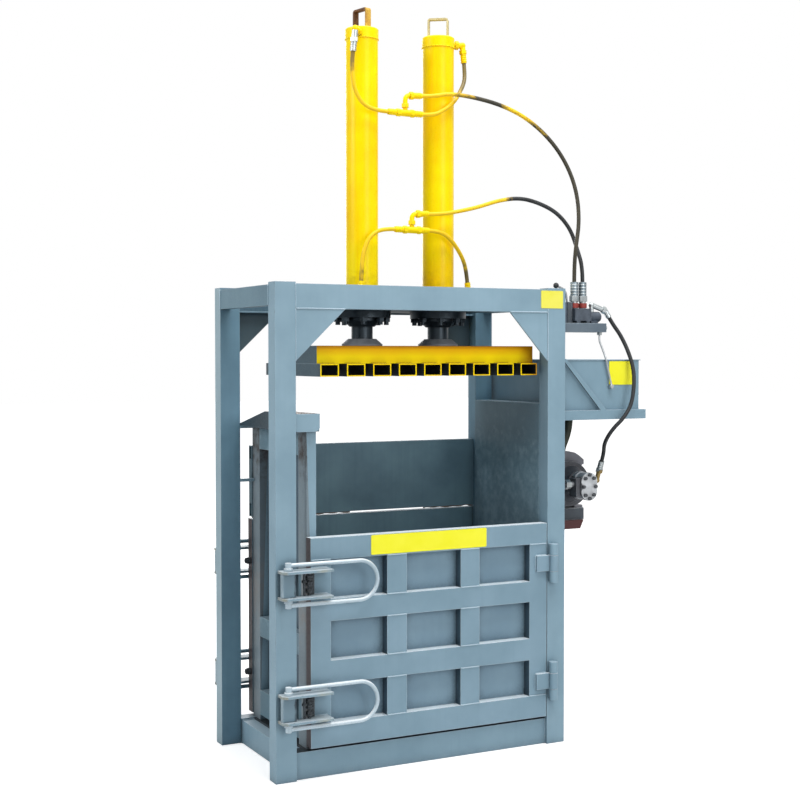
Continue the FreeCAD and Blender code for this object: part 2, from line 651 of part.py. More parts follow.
def hose_end(start, towards):
    """Hexagon swivel nut and crimped ferrule from a fitting towards its hose."""
    d = unit(towards)
    nut = hexagon(start, d, HOSE_NUT_AF, HOSE_NUT_L)
    return [nut, rod(Vector(*start) + d * HOSE_NUT_L, d, FERRULE_R, FERRULE_L)]


def leave(start, towards, run):
    """Where a hose leaves the ferrule that stands on start."""
    return along((start, towards, HOSE_NUT_L + FERRULE_L)), towards, run


def port_elbow(x, port, z, towards, drop, run):
    """Elbow on a cylinder port, with the hose's nut and ferrule at the end of its leg."""
    angle, reach = port
    a = math.radians(angle)
    out = (math.cos(a), math.sin(a), 0)
    wall = CAP_R if z > BARREL_TOP else BARREL_R
    neck = rod((x, 0, z), out, PORT_R - 1, reach)
    neck = neck.cut(rod((x, 0, z - 50), (0, 0, 1), wall, 100))
    knee = (x + out[0] * reach, out[1] * reach, z)
    collar_at = wall + 5
    collar = hexagon((x + out[0] * collar_at, out[1] * collar_at, z), out, HOSE_NUT_AF + 4, 14)
    pieces = [neck, Part.makeSphere(PORT_R, Vector(*knee)), collar]
    if drop:
        pieces.append(rod(knee, unit(towards), PORT_R - 2, drop + 2))
    seat = along((knee, towards, drop))
    return fuse(pieces + hose_end(seat, towards)), leave(seat, towards, run)


def tee(place, towards, runs):
    """Tee between two jumper hoses, with an elbow above it for the feed hose."""
    x, z, stem = place
    half = 24.0
    left = (x - half, TEE_Y, z)
    right = (x + half, TEE_Y, z)
    knee = (x + TEE_BEND, TEE_Y, z + stem)
    foot = Vector(x, TEE_Y, z + stem - TEE_BEND)
    middle = foot + Vector(TEE_BEND * (1 - math.sqrt(0.5)), 0, TEE_BEND * math.sqrt(0.5))
    bend = Part.Wire(Part.Arc(foot, middle, Vector(*knee)).toShape())
    section = Part.Wire(Part.Circle(foot, Vector(0, 0, 1), 10).toShape())
    pieces = [rod(left, (1, 0, 0), PORT_R, 2 * half), rod((x, TEE_Y, z), (0, 0, 1), 10, stem - TEE_BEND),
              hexagon((x, TEE_Y, z + 22), (0, 0, 1), HOSE_NUT_AF, HOSE_NUT_L),
              bend.makePipeShell([section], True, False)]
    pieces += hose_end(left, (-1, 0, 0)) + hose_end(right, (1, 0, 0)) + hose_end(knee, towards)
    ends = [leave(*end) for end in zip((left, right, knee), ((-1, 0, 0), (1, 0, 0), towards), runs)]
    return fuse(pieces), ends


def cylinder_hoses():
    low, high = PORT_ZS
    left, right = CYL_XS
    upper_left = port_elbow(left, PORTS_UPPER[0], high, (-10, 0, -88), 38, 46)
    upper_right = port_elbow(right, PORTS_UPPER[1], high, (5, -4, -70), 20, 42)
    lower_left = port_elbow(left, PORTS_LOWER[0], low, (2, 0, 54), 0, 59)
    lower_right = port_elbow(right, PORTS_LOWER[1], low, (-13, -7, 78), 10, 44)
    PARTS["port_fittings"] = group(f[0] for f in (upper_left, upper_right, lower_left, lower_right))

    upper_tee, upper_ends = tee(TEE_UPPER, (1, -0.013, 0.05), (58, 52, 53))
    lower_tee, lower_ends = tee(TEE_LOWER, (1, -0.05, 0.03), (61, 55, 62))
    PARTS["hose_tees"] = group([upper_tee, lower_tee])

    hose("jumper_hose_upper_left", upper_left[1],
         [(-221, -105, 2738), (-211, -105, 2682), (-177, -105, 2632)], upper_ends[0], HOSE_R)
    hose("jumper_hose_upper_right", upper_right[1],
         [(329, -41, 2772), (294, -66, 2724), (252, -88, 2674), (198, -104, 2637)],
         upper_ends[1], HOSE_R)
    hose("jumper_hose_lower_left", lower_left[1],
         [(-172, -105, 2045), (-147, -105, 2103)], lower_ends[0], HOSE_R)
    hose("jumper_hose_lower_right", lower_right[1],
         [(317, -59, 2022), (277, -82, 2064), (233, -99, 2105)], lower_ends[1], HOSE_R)
    return upper_ends[2], lower_ends[2]


def feed_hoses(upper_start, lower_start, valve_ends):
    hose("feed_hose_upper", upper_start,
         [(224, -111, 2706), (337, -123, 2696), (448, -136, 2674), (551, -151, 2634),
          (640, -167, 2571), (711, -185, 2492), (760, -205, 2396), (781, -225, 2294),
          (774, -247, 2181), (750, -259, 2084)], valve_ends[0], HOSE_R)
    hose("feed_hose_lower", lower_start,
         [(262, -119, 2221), (350, -127, 2242), (441, -138, 2273), (539, -149, 2288),
          (629, -161, 2269), (713, -173, 2230), (769, -190, 2161), (784, -217, 2078)],
         valve_ends[1], HOSE_R)


# ---------------------------------------------------------------- valve
def valve():
    """Hand valve on its bracket: block, spool housing, two work ports, pressure and return ports."""
    top = 1820.0
    seat = 1758.0
    block = box((730, 812), (VALVE_Y - 36, VALVE_Y + 36), (seat + 10, top))
    feet = box((738, 804), (VALVE_Y - 36, VALVE_Y + 36), (seat, seat + 10))
    gap = box((756, 788), (VALVE_Y - 40, VALVE_Y + 40), (seat - 1, seat + 10))
    housing = rod((812, VALVE_Y, 1786), (1, 0, 0), 22, 66)
    rim = [e for e in housing.Edges if e.BoundBox.XMin > 877 and e.Closed]
    housing = housing.makeFillet(9, rim)
    saddle = box((826, 862), (VALVE_Y - 14, VALVE_Y + 14), (seat, 1772))
    spool = rod((727, VALVE_Y, 1775), (1, 0, 0), 6, 5)
    cheeks = [box((684, 731), (y, y + 5), (seat, 1846)) for y in (VALVE_Y - 14, VALVE_Y + 9)]
    cheeks.append(box((706, 722), (VALVE_Y - 19, VALVE_Y - 14), (seat, 1848)))
    pin = rod((LEVER_X, VALVE_Y - 14, LEVER_Z), (0, 1, 0), LEVER_PIN_R, 28)
    PARTS["valve_body"] = fuse([block, feet.cut(gap), housing, saddle, spool, pin] + cheeks)

    bracket = channel_beam("x", (X1, 876), VALVE_Y - 48, 1, 98, (seat - 38, seat), BEAM_WALL)
    end = box((X1, X1 + 6), (VALVE_Y - 48, VALVE_Y + 50), (seat - 38, seat))
    lid = box((876, 881), (VALVE_Y - 48, VALVE_Y + 50), (seat - 38, seat))
    PARTS["valve_bracket"] = fuse([bracket, end, lid])

    fittings = []
    ends = []
    for x, run in zip(VALVE_PORTS, (75, 67)):
        stem = rod((x, VALVE_Y, top), (0, 0, 1), 15, 32)
        ring = rod((x, VALVE_Y, top + 3), (0, 0, 1), 19, 20)
        nut = hexagon((x, VALVE_Y, top + 30), (0, 0, 1), 36, 24)
        nut.rotate(Vector(x, VALVE_Y, top), Vector(0, 0, 1), 30)        # a flat faces the lever
        ferrule = rod((x, VALVE_Y, top + 54), (0, 0, 1), VALVE_FERRULE_R, 58)
        fittings.append(fuse([stem, ring, nut, ferrule]))
        ends.append(((x, VALVE_Y, top + 112), (0, 0, 1), run))
    knee = Vector(836, VALVE_Y, 1837)
    arm = unit((60, -8, -22))
    tip = knee + arm * 70
    way = (0.47, -0.2, -0.86)
    stem = rod((knee.x, knee.y, 1800), (0, 0, 1), 10, 37).cut(housing)
    drop = rod(tip, unit(way), FERRULE_R - 1, 34)
    pressure = [stem, Part.makeSphere(12, knee), rod(knee, arm, 11, 54), Part.makeSphere(12, tip),
                hexagon(knee + arm * 54, arm, HOSE_NUT_AF, HOSE_NUT_L), drop]
    fittings.append(fuse(pressure))
    plug = hexagon((881, VALVE_Y - 18, seat - 19), (1, 0, 0), 30, 12)
    fittings.append(fuse([plug, rod((893, VALVE_Y - 18, seat - 19), (1, 0, 0), 9, 7)]))
    drain = (854, VALVE_Y - 35, seat - 38)
    fittings.append(hexagon(drain, (0, 0, -1), 20, 12))
    PARTS["valve_fittings"] = group(fittings)
    return ends, (along((tip, way, 34)), way, 37), (drain[0], drain[1], drain[2] - 12)


def valve_lever():
    """Hand lever: a flat arm between the cheeks, a bent round bar and its knob."""
    arm = box((LEVER_X - 6, LEVER_X + 6), (VALVE_Y - 7, VALVE_Y + 7), (LEVER_Z - 28, LEVER_Z + 46))
    arm = arm.cut(rod((LEVER_X, VALVE_Y - 10, LEVER_Z), (0, 1, 0), LEVER_PIN_R + RUNNING, 20))
    foot = Vector(LEVER_X, VALVE_Y, LEVER_Z + 38)
    bend = Vector(LEVER_X - 8, VALVE_Y, LEVER_Z + 98)
    knob = Vector(LEVER_X - 57, VALVE_Y, LEVER_Z + 116)
    wire, _ = cord_wire([foot, bend, knob])
    circle = Part.Wire(Part.Circle(foot, bend - foot, 4.5).toShape())
    bar = wire.makePipeShell([circle], True, False)
    ball = Part.makeSphere(12, knob, knob - bend, -62, 62)
    PARTS["valve_lever"] = fuse([arm, bar, ball])


def return_pipe(start):
    """Thin bent pipe from the valve's return port to the front of the tank."""
    face = TANK_Y[0]
    route = [start, (start[0], start[1], start[2] - 24), (859, face, 1650), (867, face - 13, 1612),
             (881, face - 13, 1556), (897, face - 13, 1500), (897, face - 13, 1484)]
    wire, _ = cord_wire(route)
    circle = Part.Wire(Part.Circle(Vector(*start), Vector(0, 0, -1), 4).toShape())
    pipe = wire.makePipeShell([circle], True, False)
    boss = rod((897, face, 1490), (0, -1, 0), 9, 20)
    PARTS["return_pipe"] = fuse([pipe, boss])


# ---------------------------------------------------------------- tank
def tank():
    outer = box(TANK_X, TANK_Y, TANK_Z)
    edges = [e for e in outer.Edges if e.BoundBox.ZLength > 1]
    outer = outer.makeFillet(8, edges)
    inner = box((TANK_X[0] + TANK_WALL, TANK_X[1] - TANK_WALL),
                (TANK_Y[0] + TANK_WALL, TANK_Y[1] - TANK_WALL), (TANK_Z[0] + TANK_WALL, TANK_Z[1] + 1))
    edges = [e for e in inner.Edges if e.BoundBox.ZLength > 1]
    PARTS["tank_body"] = outer.cut(inner.makeFillet(5, edges))
    lid = box((TANK_X[0] - 3, TANK_X[1] + 3), (TANK_Y[0] - 3, TANK_Y[1] + 3), (TANK_Z[1], TANK_Z[1] + 4))
    cap = [rod((850, 70, TANK_Z[1] + 4), (0, 0, 1), 34, 6), rod((850, 70, TANK_Z[1] + 10), (0, 0, 1), 26, 26)]
    PARTS["tank_lid"] = fuse([lid] + cap)


def shelf():
    """Angle-iron shelf on the right posts with a diagonal brace at each end."""
    zs = (TANK_Z[0] - SHELF_H, TANK_Z[0])
    y_front = Y0 + 8
    y_rear = Y1 - 8
    t = 5.0
    angles = []
    for face, way in ((y_front, 1), (y_rear, -1)):
        angles.append(box((X1, SHELF_X1), (face, face + way * t), zs))
        angles.append(box((X1, SHELF_X1), (face, face + way * 45), (zs[1] - t, zs[1])))
    for face, way in ((X1, 1), (SHELF_X1, -1)):
        angles.append(box((face, face + way * t), (y_front, y_rear), zs))
        angles.append(box((face, face + way * 45), (y_front, y_rear), (zs[1] - t, zs[1])))
    frame = fuse(angles)
    braces = []
    for y in (y_front, y_rear - t):
        braces.append(extrude([(X1 - 12, y, 1612), (X1 + 12, y, 1606), (866, y, zs[1]), (836, y, zs[1])],
                              (0, t, 0)))
    wedge = box((X0, X1), (-Y1, Y1), (0, FRAME_H))
    PARTS["tank_shelf"] = fuse([frame] + [b.cut(wedge) for b in braces])


def suction(inlet):
    outlet = (772, -180, TANK_Z[0])
    hose("suction_hose", (outlet, (0, 0, -1), 56), [(757, -184, 1279), (731, -186, 1228)],
         (inlet, (0, 0, 1), 56), 17)


# ---------------------------------------------------------------- motor and pump
def gear_pump():
    """Aluminium gear pump: long-round body between two covers held by eight bolts."""
    half_w = 41.0
    rise = 20.0
    y_face = -225.0

    def slab(radius, y, depth):
        ends = [rod((MOTOR_X, y, MOTOR_Z + s * rise), (0, 1, 0), radius, depth) for s in (-1, 1)]
        middle = box((MOTOR_X - radius, MOTOR_X + radius), (y, y + depth), (MOTOR_Z - rise, MOTOR_Z + rise))
        return fuse(ends + [middle])

    body = [slab(half_w, y_face, 22), slab(half_w - 3, y_face + 22, 34), slab(half_w, y_face + 56, 24)]
    for i in range(8):
        a = math.radians(45 * i)
        centre = (MOTOR_X + 31 * math.cos(a), y_face, MOTOR_Z + 51 * math.sin(a))
        body.append(hexagon(centre, (0, -1, 0), 14, 9))
    knee = (912, y_face + 37, MOTOR_Z + 22)
    way = (0, -0.42, 1)
    body += [rod((MOTOR_X + half_w - 6, knee[1], knee[2]), (1, 0, 0), 12, knee[0] - MOTOR_X - half_w + 6),
             Part.makeSphere(13, Vector(*knee)), rod(knee, unit(way), 10, 42)]
    seat = along((knee, way, 40))
    body += hose_end(seat, way)
    inlet_x = 716.0
    elbow = [rod((MOTOR_X - half_w + 4, -190, MOTOR_Z + 10), (-1, 0, 0), 11, MOTOR_X - half_w + 4 - inlet_x),
             box((786, MOTOR_X - half_w + 4), (-216, -164), (MOTOR_Z - 44, MOTOR_Z + 36)),
             hexagon((770, -190, MOTOR_Z + 10), (-1, 0, 0), 36, 26),
             Part.makeSphere(17, Vector(inlet_x, -190, MOTOR_Z + 10)),
             rod((inlet_x, -190, MOTOR_Z + 10), (0, 0, 1), 19, 50)]
    PARTS["gear_pump"] = fuse(body + elbow)
    return leave(seat, way, 39), (inlet_x, -190, MOTOR_Z + 60)


def motor():
    """Foot-mounted motor with cooling ribs, bell housing, fan cowl, shaft and terminal box."""
    ring_y = (-145.0, -70.0)
    bell = [rod((MOTOR_X, ring_y[0], MOTOR_Z), (0, 1, 0), 62, 12),
            cone((MOTOR_X, ring_y[0] + 12, MOTOR_Z), (0, 1, 0), 60, 80, ring_y[1] - ring_y[0] - 24),
            rod((MOTOR_X, ring_y[1] - 12, MOTOR_Z), (0, 1, 0), 98, 12)]
    hollow = rod((MOTOR_X, ring_y[0] + 8, MOTOR_Z), (0, 1, 0), 44, ring_y[1] - ring_y[0] - 7)
    PARTS["bell_housing"] = fuse(bell).cut(hollow)

    y_a = ring_y[1]
    y_b = 165.0
    core = MOTOR_R - 12
    body = [rod((MOTOR_X, y_a, MOTOR_Z), (0, 1, 0), core, y_b - y_a),
            rod((MOTOR_X, y_a, MOTOR_Z), (0, 1, 0), MOTOR_R, 14),
            rod((MOTOR_X, y_b - 14, MOTOR_Z), (0, 1, 0), MOTOR_R, 14)]
    fin = box((core - 4, MOTOR_R), (y_a + 14, y_b - 14), (-1.8, 1.8))
    for i in range(28):
        angle = -150 + 10 * i - (0 if i < 14 else -20)
        if 32 < angle % 360 < 148 or 215 < angle % 360 < 325:
            continue
        rib = fin.copy()
        rib.rotate(Vector(0, 0, 0), Vector(0, 1, 0), -angle)
        rib.translate(Vector(MOTOR_X, 0, MOTOR_Z))
        body.append(rib)
    foot_z = MOTOR_Z - 112
    for side in (-1, 1):
        foot_ys = (y_a + 30, y_b - 40)
        inner = MOTOR_X + side * 50
        body.append(box((inner, MOTOR_X + side * 92), foot_ys, (foot_z, foot_z + 12)))
        body.append(box((inner, MOTOR_X + side * 64), foot_ys, (foot_z, MOTOR_Z - 60)))
    hollow = rod((MOTOR_X, y_a - 1, MOTOR_Z), (0, 1, 0), 22, y_b - y_a + 2)
    PARTS["motor_body"] = fuse(body).cut(hollow)

    y_end = y_b + 78
    cowl = rod((MOTOR_X, y_b, MOTOR_Z), (0, 1, 0), MOTOR_R - 2, y_end - y_b)
    rim = [e for e in cowl.Edges if e.BoundBox.YMin > y_end - 1 and e.Closed]
    cowl = cowl.makeChamfer(10, rim)
    cowl = cowl.cut(rod((MOTOR_X, y_b - 1, MOTOR_Z), (0, 1, 0), MOTOR_R - 5, y_end - y_b - 11))
    slot = box((26, 78), (y_end - 12, y_end + 1), (-4, 4))
    for i in range(12):
        opening = slot.copy()
        opening.rotate(Vector(0, 0, 0), Vector(0, 1, 0), 30 * i)
        opening.translate(Vector(MOTOR_X, 0, MOTOR_Z))
        cowl = cowl.cut(opening)
    PARTS["motor_fan_cowl"] = cowl

    outline = [(790, 1122), (924, 1126), (938, 1158), (914, 1177), (890, 1191), (858, 1198), (806, 1198),
               (784, 1180), (784, 1140)]
    case = extrude([(x, -52, z) for x, z in outline], (0, 120, 0))
    case = case.cut(rod((MOTOR_X, -100, MOTOR_Z), (0, 1, 0), core, 300))
    inlet = box((920, 946), (-40, -8), (1136, 1158))
    PARTS["terminal_box"] = fuse([case, inlet])

    shaft = [rod((MOTOR_X, ring_y[0] + 10, MOTOR_Z), (0, 1, 0), 12, y_end - ring_y[0] - 25),
             rod((MOTOR_X, ring_y[0] + 16, MOTOR_Z), (0, 1, 0), 38, 40),
             rod((MOTOR_X, y_b + 18, MOTOR_Z), (0, 1, 0), 30, 40)]
    for i in range(6):
        blade = box((26, 82), (y_b + 20, y_b + 54), (-2, 2))
        blade.rotate(Vector(0, 0, 0), Vector(0, 1, 0), 60 * i)
        blade.translate(Vector(MOTOR_X, 0, MOTOR_Z))
        shaft.append(blade)
    PARTS["motor_shaft"] = fuse(shaft)
    motor_base(foot_z, (y_a, y_b))


def motor_base(foot_z, ys):
    """Box section under the motor's feet, on a channel plate welded to the wall's rib."""
    top = 892.0
    rails = [square_tube((MOTOR_X - 92, MOTOR_X + 92), (ys[0] + 20, ys[1] - 30), (top, foot_z), 5, 0)]
    face = ys[0] + 6
    outline = [(X1, face, top), (930, face, top), (912, face, top - 38), (X1, face, top - 38)]
    block = extrude(outline, (0, ys[1] - ys[0] - 20, 0))
    hollow = box((X1 - 1, 940), (ys[0] + 12, ys[1] - 20), (top - 40, top - 6))
    PARTS["motor_base"] = group([block.cut(hollow)] + rails)


def pump_hose(start, end):
    hose("pump_hose", start,
         [(962, -288, 1709), (985, -313, 1639), (995, -339, 1562), (985, -355, 1485),
          (969, -358, 1410), (929, -356, 1354), (893, -335, 1312), (883, -301, 1268),
          (899, -259, 1234)],
         end, HOSE_R)


# ---------------------------------------------------------------- assembly
def build():
    PARTS["post_front_left"] = corner_post(False, False)
    PARTS["post_front_right"] = corner_post(True, False)
    PARTS["post_rear_left"] = corner_post(False, True)
    PARTS["post_rear_right"] = corner_post(True, True)
    top_beams()
    gussets()
    crown()
    base()
    left_wall()
    left_wall_cap()
    right_wall()
    rear_panel()
    doors_and_latches()
    press()
    upper_start, lower_start = cylinder_hoses()
    valve_ends, pressure_port, return_port = valve()
    feed_hoses(upper_start, lower_start, valve_ends)
    valve_lever()
    return_pipe(return_port)
    tank()
    shelf()
    pump_port, inlet = gear_pump()
    pump_hose(pressure_port, pump_port)
    suction(inlet)
    motor()


build()
os.makedirs("parts", exist_ok=True)
for name, shape in PARTS.items():
    if not shape.isValid():
        print("not valid:", name)
    shape.exportStep("parts/" + name + ".step")
print(len(PARTS), "sub-parts")
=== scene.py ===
# %% [markdown]
# # A vertical recycling baler
# Two yellow hydraulic cylinders stand on a welded blue-grey frame and push a platen down into the bale
# chamber. The CAD model gives every rigid part its true shape, so this lesson loads it first and never
# moves it. Blender then adds what CAD leaves out: hoses with their own bend, weld beads, bare marker
# plates, and paint, rust, oil and rubber that are built from shader nodes, with painted light and shade
# in many of the paints.

# %% Load the imported model
import math

import bmesh
import bpy
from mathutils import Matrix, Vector


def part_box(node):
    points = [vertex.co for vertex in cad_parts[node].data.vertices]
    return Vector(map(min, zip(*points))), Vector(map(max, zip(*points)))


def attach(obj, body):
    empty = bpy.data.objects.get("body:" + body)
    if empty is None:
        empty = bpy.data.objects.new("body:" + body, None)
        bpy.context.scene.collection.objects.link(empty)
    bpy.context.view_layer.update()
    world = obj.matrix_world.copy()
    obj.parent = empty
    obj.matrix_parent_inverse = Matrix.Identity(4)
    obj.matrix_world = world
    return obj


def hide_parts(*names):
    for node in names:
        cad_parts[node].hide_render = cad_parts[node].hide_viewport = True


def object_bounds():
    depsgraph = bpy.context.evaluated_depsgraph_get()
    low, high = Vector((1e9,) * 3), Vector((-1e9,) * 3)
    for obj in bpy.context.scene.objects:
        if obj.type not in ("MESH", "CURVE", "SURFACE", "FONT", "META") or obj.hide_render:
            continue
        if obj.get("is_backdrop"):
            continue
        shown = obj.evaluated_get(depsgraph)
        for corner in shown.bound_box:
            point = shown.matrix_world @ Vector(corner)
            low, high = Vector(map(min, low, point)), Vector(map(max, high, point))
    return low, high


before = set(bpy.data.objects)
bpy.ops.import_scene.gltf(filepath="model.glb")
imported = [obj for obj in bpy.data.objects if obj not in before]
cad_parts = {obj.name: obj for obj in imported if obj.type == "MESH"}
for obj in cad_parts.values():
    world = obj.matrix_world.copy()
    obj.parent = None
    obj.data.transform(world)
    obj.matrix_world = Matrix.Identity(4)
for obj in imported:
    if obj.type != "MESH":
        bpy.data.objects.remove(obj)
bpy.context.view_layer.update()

# %% [markdown]
# ## Camera
# The photograph was taken from the left front at eye height with a slightly long lens. A lens of about
# 63 mm on a 36 mm sensor and a small downward tilt give the same converging lines, so the render can be
# laid over the photograph.

# %% Camera
CAMERA_PLACE = (-2.6192, -5.1972, 1.6281)
TILT_DOWN_DEGREES = 1.892
TURN_RIGHT_DEGREES = 27.146
lens = bpy.data.cameras.new("camera")
lens.lens = 62.85
lens.sensor_width = 36
camera = bpy.data.objects.new("camera", lens)
camera.location = CAMERA_PLACE
camera.rotation_euler = (math.radians(90 - TILT_DOWN_DEGREES), 0, math.radians(-TURN_RIGHT_DEGREES))
bpy.context.scene.collection.objects.link(camera)
bpy.context.scene.camera = camera
print("camera at", tuple(camera.location))

# %% [markdown]
# ## Hydraulic hoses
# A hydraulic hose is steel-braided rubber: stiff, of one thickness, and it leaves its fitting straight.
# A curve object is the natural form for it, because a NURBS spline passes smoothly by a few control
# points and its round bevel keeps one diameter all along. The points are the ones that the CAD tubes
# follow, from fitting to fitting.

# %% Routes of the hoses: each one's length and points, in metres
HOSE_THICKNESS = 0.017
SUCTION_THICKNESS = 0.034
hose_routes = {
    "jumper_hose_upper_left": (0.3324, [
        (-0.2192, -0.1046, 2.8376), (-0.2244, -0.1046, 2.7919), (-0.2210, -0.1050, 2.7380),
        (-0.2110, -0.1050, 2.6820), (-0.1770, -0.1050, 2.6320), (-0.1210, -0.1060, 2.6100),
        (-0.0630, -0.1060, 2.6100)]),
    "jumper_hose_upper_right": (0.3954, [
        (0.3346, -0.0281, 2.8553), (0.3375, -0.0304, 2.8135), (0.3290, -0.0410, 2.7720),
        (0.2940, -0.0660, 2.7240), (0.2520, -0.0880, 2.6740), (0.1980, -0.1040, 2.6370),
        (0.1450, -0.1060, 2.6100), (0.0930, -0.1060, 2.6100)]),
    "jumper_hose_lower_left": (0.3076, [
        (-0.1834, -0.1042, 1.9220), (-0.1812, -0.1042, 1.9809), (-0.1720, -0.1050, 2.0450),
        (-0.1470, -0.1050, 2.1030), (-0.0930, -0.1060, 2.1360), (-0.0320, -0.1060, 2.1360)]),
    "jumper_hose_lower_right": (0.3422, [
        (0.3495, -0.0341, 1.9309), (0.3423, -0.0380, 1.9741), (0.3170, -0.0590, 2.0220),
        (0.2770, -0.0820, 2.0640), (0.2330, -0.0990, 2.1050), (0.1790, -0.1060, 2.1360),
        (0.1240, -0.1060, 2.1360)]),
    "feed_hose_upper": (1.2743, [
        (0.0889, -0.1067, 2.6847), (0.1419, -0.1074, 2.6873), (0.2240, -0.1110, 2.7060),
        (0.3370, -0.1230, 2.6960), (0.4480, -0.1360, 2.6740), (0.5510, -0.1510, 2.6340),
        (0.6400, -0.1670, 2.5710), (0.7110, -0.1850, 2.4920), (0.7600, -0.2050, 2.3960),
        (0.7810, -0.2250, 2.2940), (0.7740, -0.2470, 2.1810), (0.7500, -0.2590, 2.0840),
        (0.7480, -0.2500, 2.0070), (0.7480, -0.2500, 1.9320)]),
    "feed_hose_lower": (0.9437, [
        (0.1199, -0.1087, 2.2036), (0.1818, -0.1118, 2.2055), (0.2620, -0.1190, 2.2210),
        (0.3500, -0.1270, 2.2420), (0.4410, -0.1380, 2.2730), (0.5390, -0.1490, 2.2880),
        (0.6290, -0.1610, 2.2690), (0.7130, -0.1730, 2.2300), (0.7690, -0.1900, 2.1610),
        (0.7840, -0.2170, 2.0780), (0.7900, -0.2500, 1.9990), (0.7900, -0.2500, 1.9320)]),
    "pump_hose": (0.7211, [
        (0.9172, -0.2655, 1.7839), (0.9346, -0.2729, 1.7520), (0.9620, -0.2880, 1.7090),
        (0.9850, -0.3130, 1.6390), (0.9950, -0.3390, 1.5620), (0.9850, -0.3550, 1.4850),
        (0.9690, -0.3580, 1.4100), (0.9290, -0.3560, 1.3540), (0.8930, -0.3350, 1.3120),
        (0.8830, -0.3010, 1.2680), (0.8990, -0.2590, 1.2340), (0.9120, -0.2395, 1.2006),
        (0.9120, -0.2244, 1.1647)]),
    "suction_hose": (0.2835, [
        (0.7720, -0.1800, 1.3900), (0.7720, -0.1800, 1.3340), (0.7570, -0.1840, 1.2790),
        (0.7310, -0.1860, 1.2280), (0.7160, -0.1900, 1.1720), (0.7160, -0.1900, 1.1160)]),
}


# %% Lay the hoses
def lay_hose(node, points, thickness):
    """One NURBS hose on the CAD tube's own points; it hides the plain tube. The points carry the hose's
    radius and the bevel is 1, because Blender widens a curve's box by the radius of its points."""
    curve = bpy.data.curves.new(node + "_line", "CURVE")
    curve.dimensions = "3D"
    spline = curve.splines.new("NURBS")
    spline.points.add(len(points) - 1)
    for point, place in zip(spline.points, points):
        point.co = (*place, 1)
        point.radius = thickness / 2
    spline.order_u = 3
    spline.use_endpoint_u = True
    spline.resolution_u = 8
    curve.bevel_depth = 1.0
    curve.bevel_resolution = 5
    curve.use_fill_caps = True
    hose = bpy.data.objects.new(node + "_rubber", curve)
    bpy.context.scene.collection.objects.link(hose)
    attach(hose, "frame")
    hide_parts(node)
    return hose


hoses = {}
for node, (length, points) in hose_routes.items():
    thickness = SUCTION_THICKNESS if node == "suction_hose" else HOSE_THICKNESS
    hoses[node] = lay_hose(node, points, thickness)
print("hoses", len(hoses), "metres in all", round(sum(route[0] for route in hose_routes.values()), 2))

# %% [markdown]
# ## Small helpers for the finishes
# Paint colours are written as the sRGB hex values that a paint chart gives, and Blender's shaders want
# linear light, so one function turns them. A second one adds a shader node with its settings, values and
# links in a single call and gives back the output that the next node takes, which keeps a long finish
# readable from top to bottom.

# %% Colour and node helpers
def linear(hex_colour):
    """sRGB hex to linear RGBA."""
    parts = [int(hex_colour[i:i + 2], 16) / 255 for i in (1, 3, 5)]
    return (*(c / 12.92 if c <= 0.04045 else ((c + 0.055) / 1.055) ** 2.4 for c in parts), 1)


def add(finish, kind, inputs=(), output=0, **settings):
    """Adds a shader node and returns one of its outputs. Inputs are a list in the node's own order, or
    a dictionary by name or number: an output is linked, and a number or a colour is set."""
    made = finish.node_tree.nodes.new("ShaderNode" + kind)
    for name, setting in settings.items():
        setattr(made, name, setting)
    for socket, given in inputs.items() if isinstance(inputs, dict) else enumerate(inputs):
        if isinstance(given, bpy.types.NodeSocket):
            finish.node_tree.links.new(given, made.inputs[socket])
        else:
            made.inputs[socket].default_value = given
    return made.outputs[output] if made.outputs else None


def new_finish(name):
    """A material without any nodes yet."""
    finish = bpy.data.materials.new(name)
    finish.use_nodes = True
    finish.node_tree.nodes.clear()
    return finish


# %% [markdown]
# ## Patterns that every finish shares
# Real surfaces vary at several sizes at once: cloudy shade over a hand's width, grain of a few
# millimetres, runs that follow gravity. Each is a noise texture whose scale is one over the size of its
# features in metres, read in the object's own coordinates, so it stays fixed to the steel.

# %% Pattern helpers
def grain(finish, where, size_mm, stretch=(1, 1, 1), detail=3.0, rough=0.55):
    """Noise with features of a real size; stretch makes them longer along an axis."""
    scale = tuple(1000 / size_mm / s for s in stretch)
    spread = add(finish, "Mapping", {"Vector": where, "Scale": scale})
    return add(finish, "TexNoise", {"Vector": spread, "Scale": 1.0, "Detail": detail, "Roughness": rough})


def patches(finish, where, size_mm, low, high, least=0.0, most=1.0, **kind):
    """Grain whose values from low to high are spread from least to most, as soft patches."""
    return add(finish, "MapRange", [grain(finish, where, size_mm, **kind), low, high, least, most])


def coat(finish, under, over, *masks):
    """Lays one colour over another, as far as the product of the masks lets it show."""
    amount = masks[0]
    for mask in masks[1:]:
        amount = add(finish, "Math", [amount, mask], operation="MULTIPLY", use_clamp=True)
    return add(finish, "Mix", {0: amount, 6: under, 7: over}, output=2, data_type="RGBA")


def edges_for_wear_and_highlight(finish, rounded):
    """1 on edges, 0 on flats: how far the rounded direction leaves the true one."""
    true = add(finish, "NewGeometry", output="Normal")
    facing = add(finish, "VectorMath", [rounded, true], output="Value", operation="DOT_PRODUCT")
    return add(finish, "MapRange", [facing, 0.98, 0.80])


def facing_up(finish, rounded, share):
    """share on what faces up, where dust settles and where a highlight from the light above is painted,
    and 0 on what stands upright.
    """
    upward = add(finish, "SeparateXYZ", [rounded], output="Z")
    return add(finish, "MapRange", [upward, 0.25, 0.70, 0.0, share])


def corner_shade_and_dirt(finish, reach_mm):
    """Painted shade together with dirt: 1 deep in corners and under ledges, 0 in the open."""
    light = add(finish, "AmbientOcclusion", {"Distance": reach_mm / 1000}, output="AO", samples=6)
    return add(finish, "MapRange", [light, 0.85, 0.30])


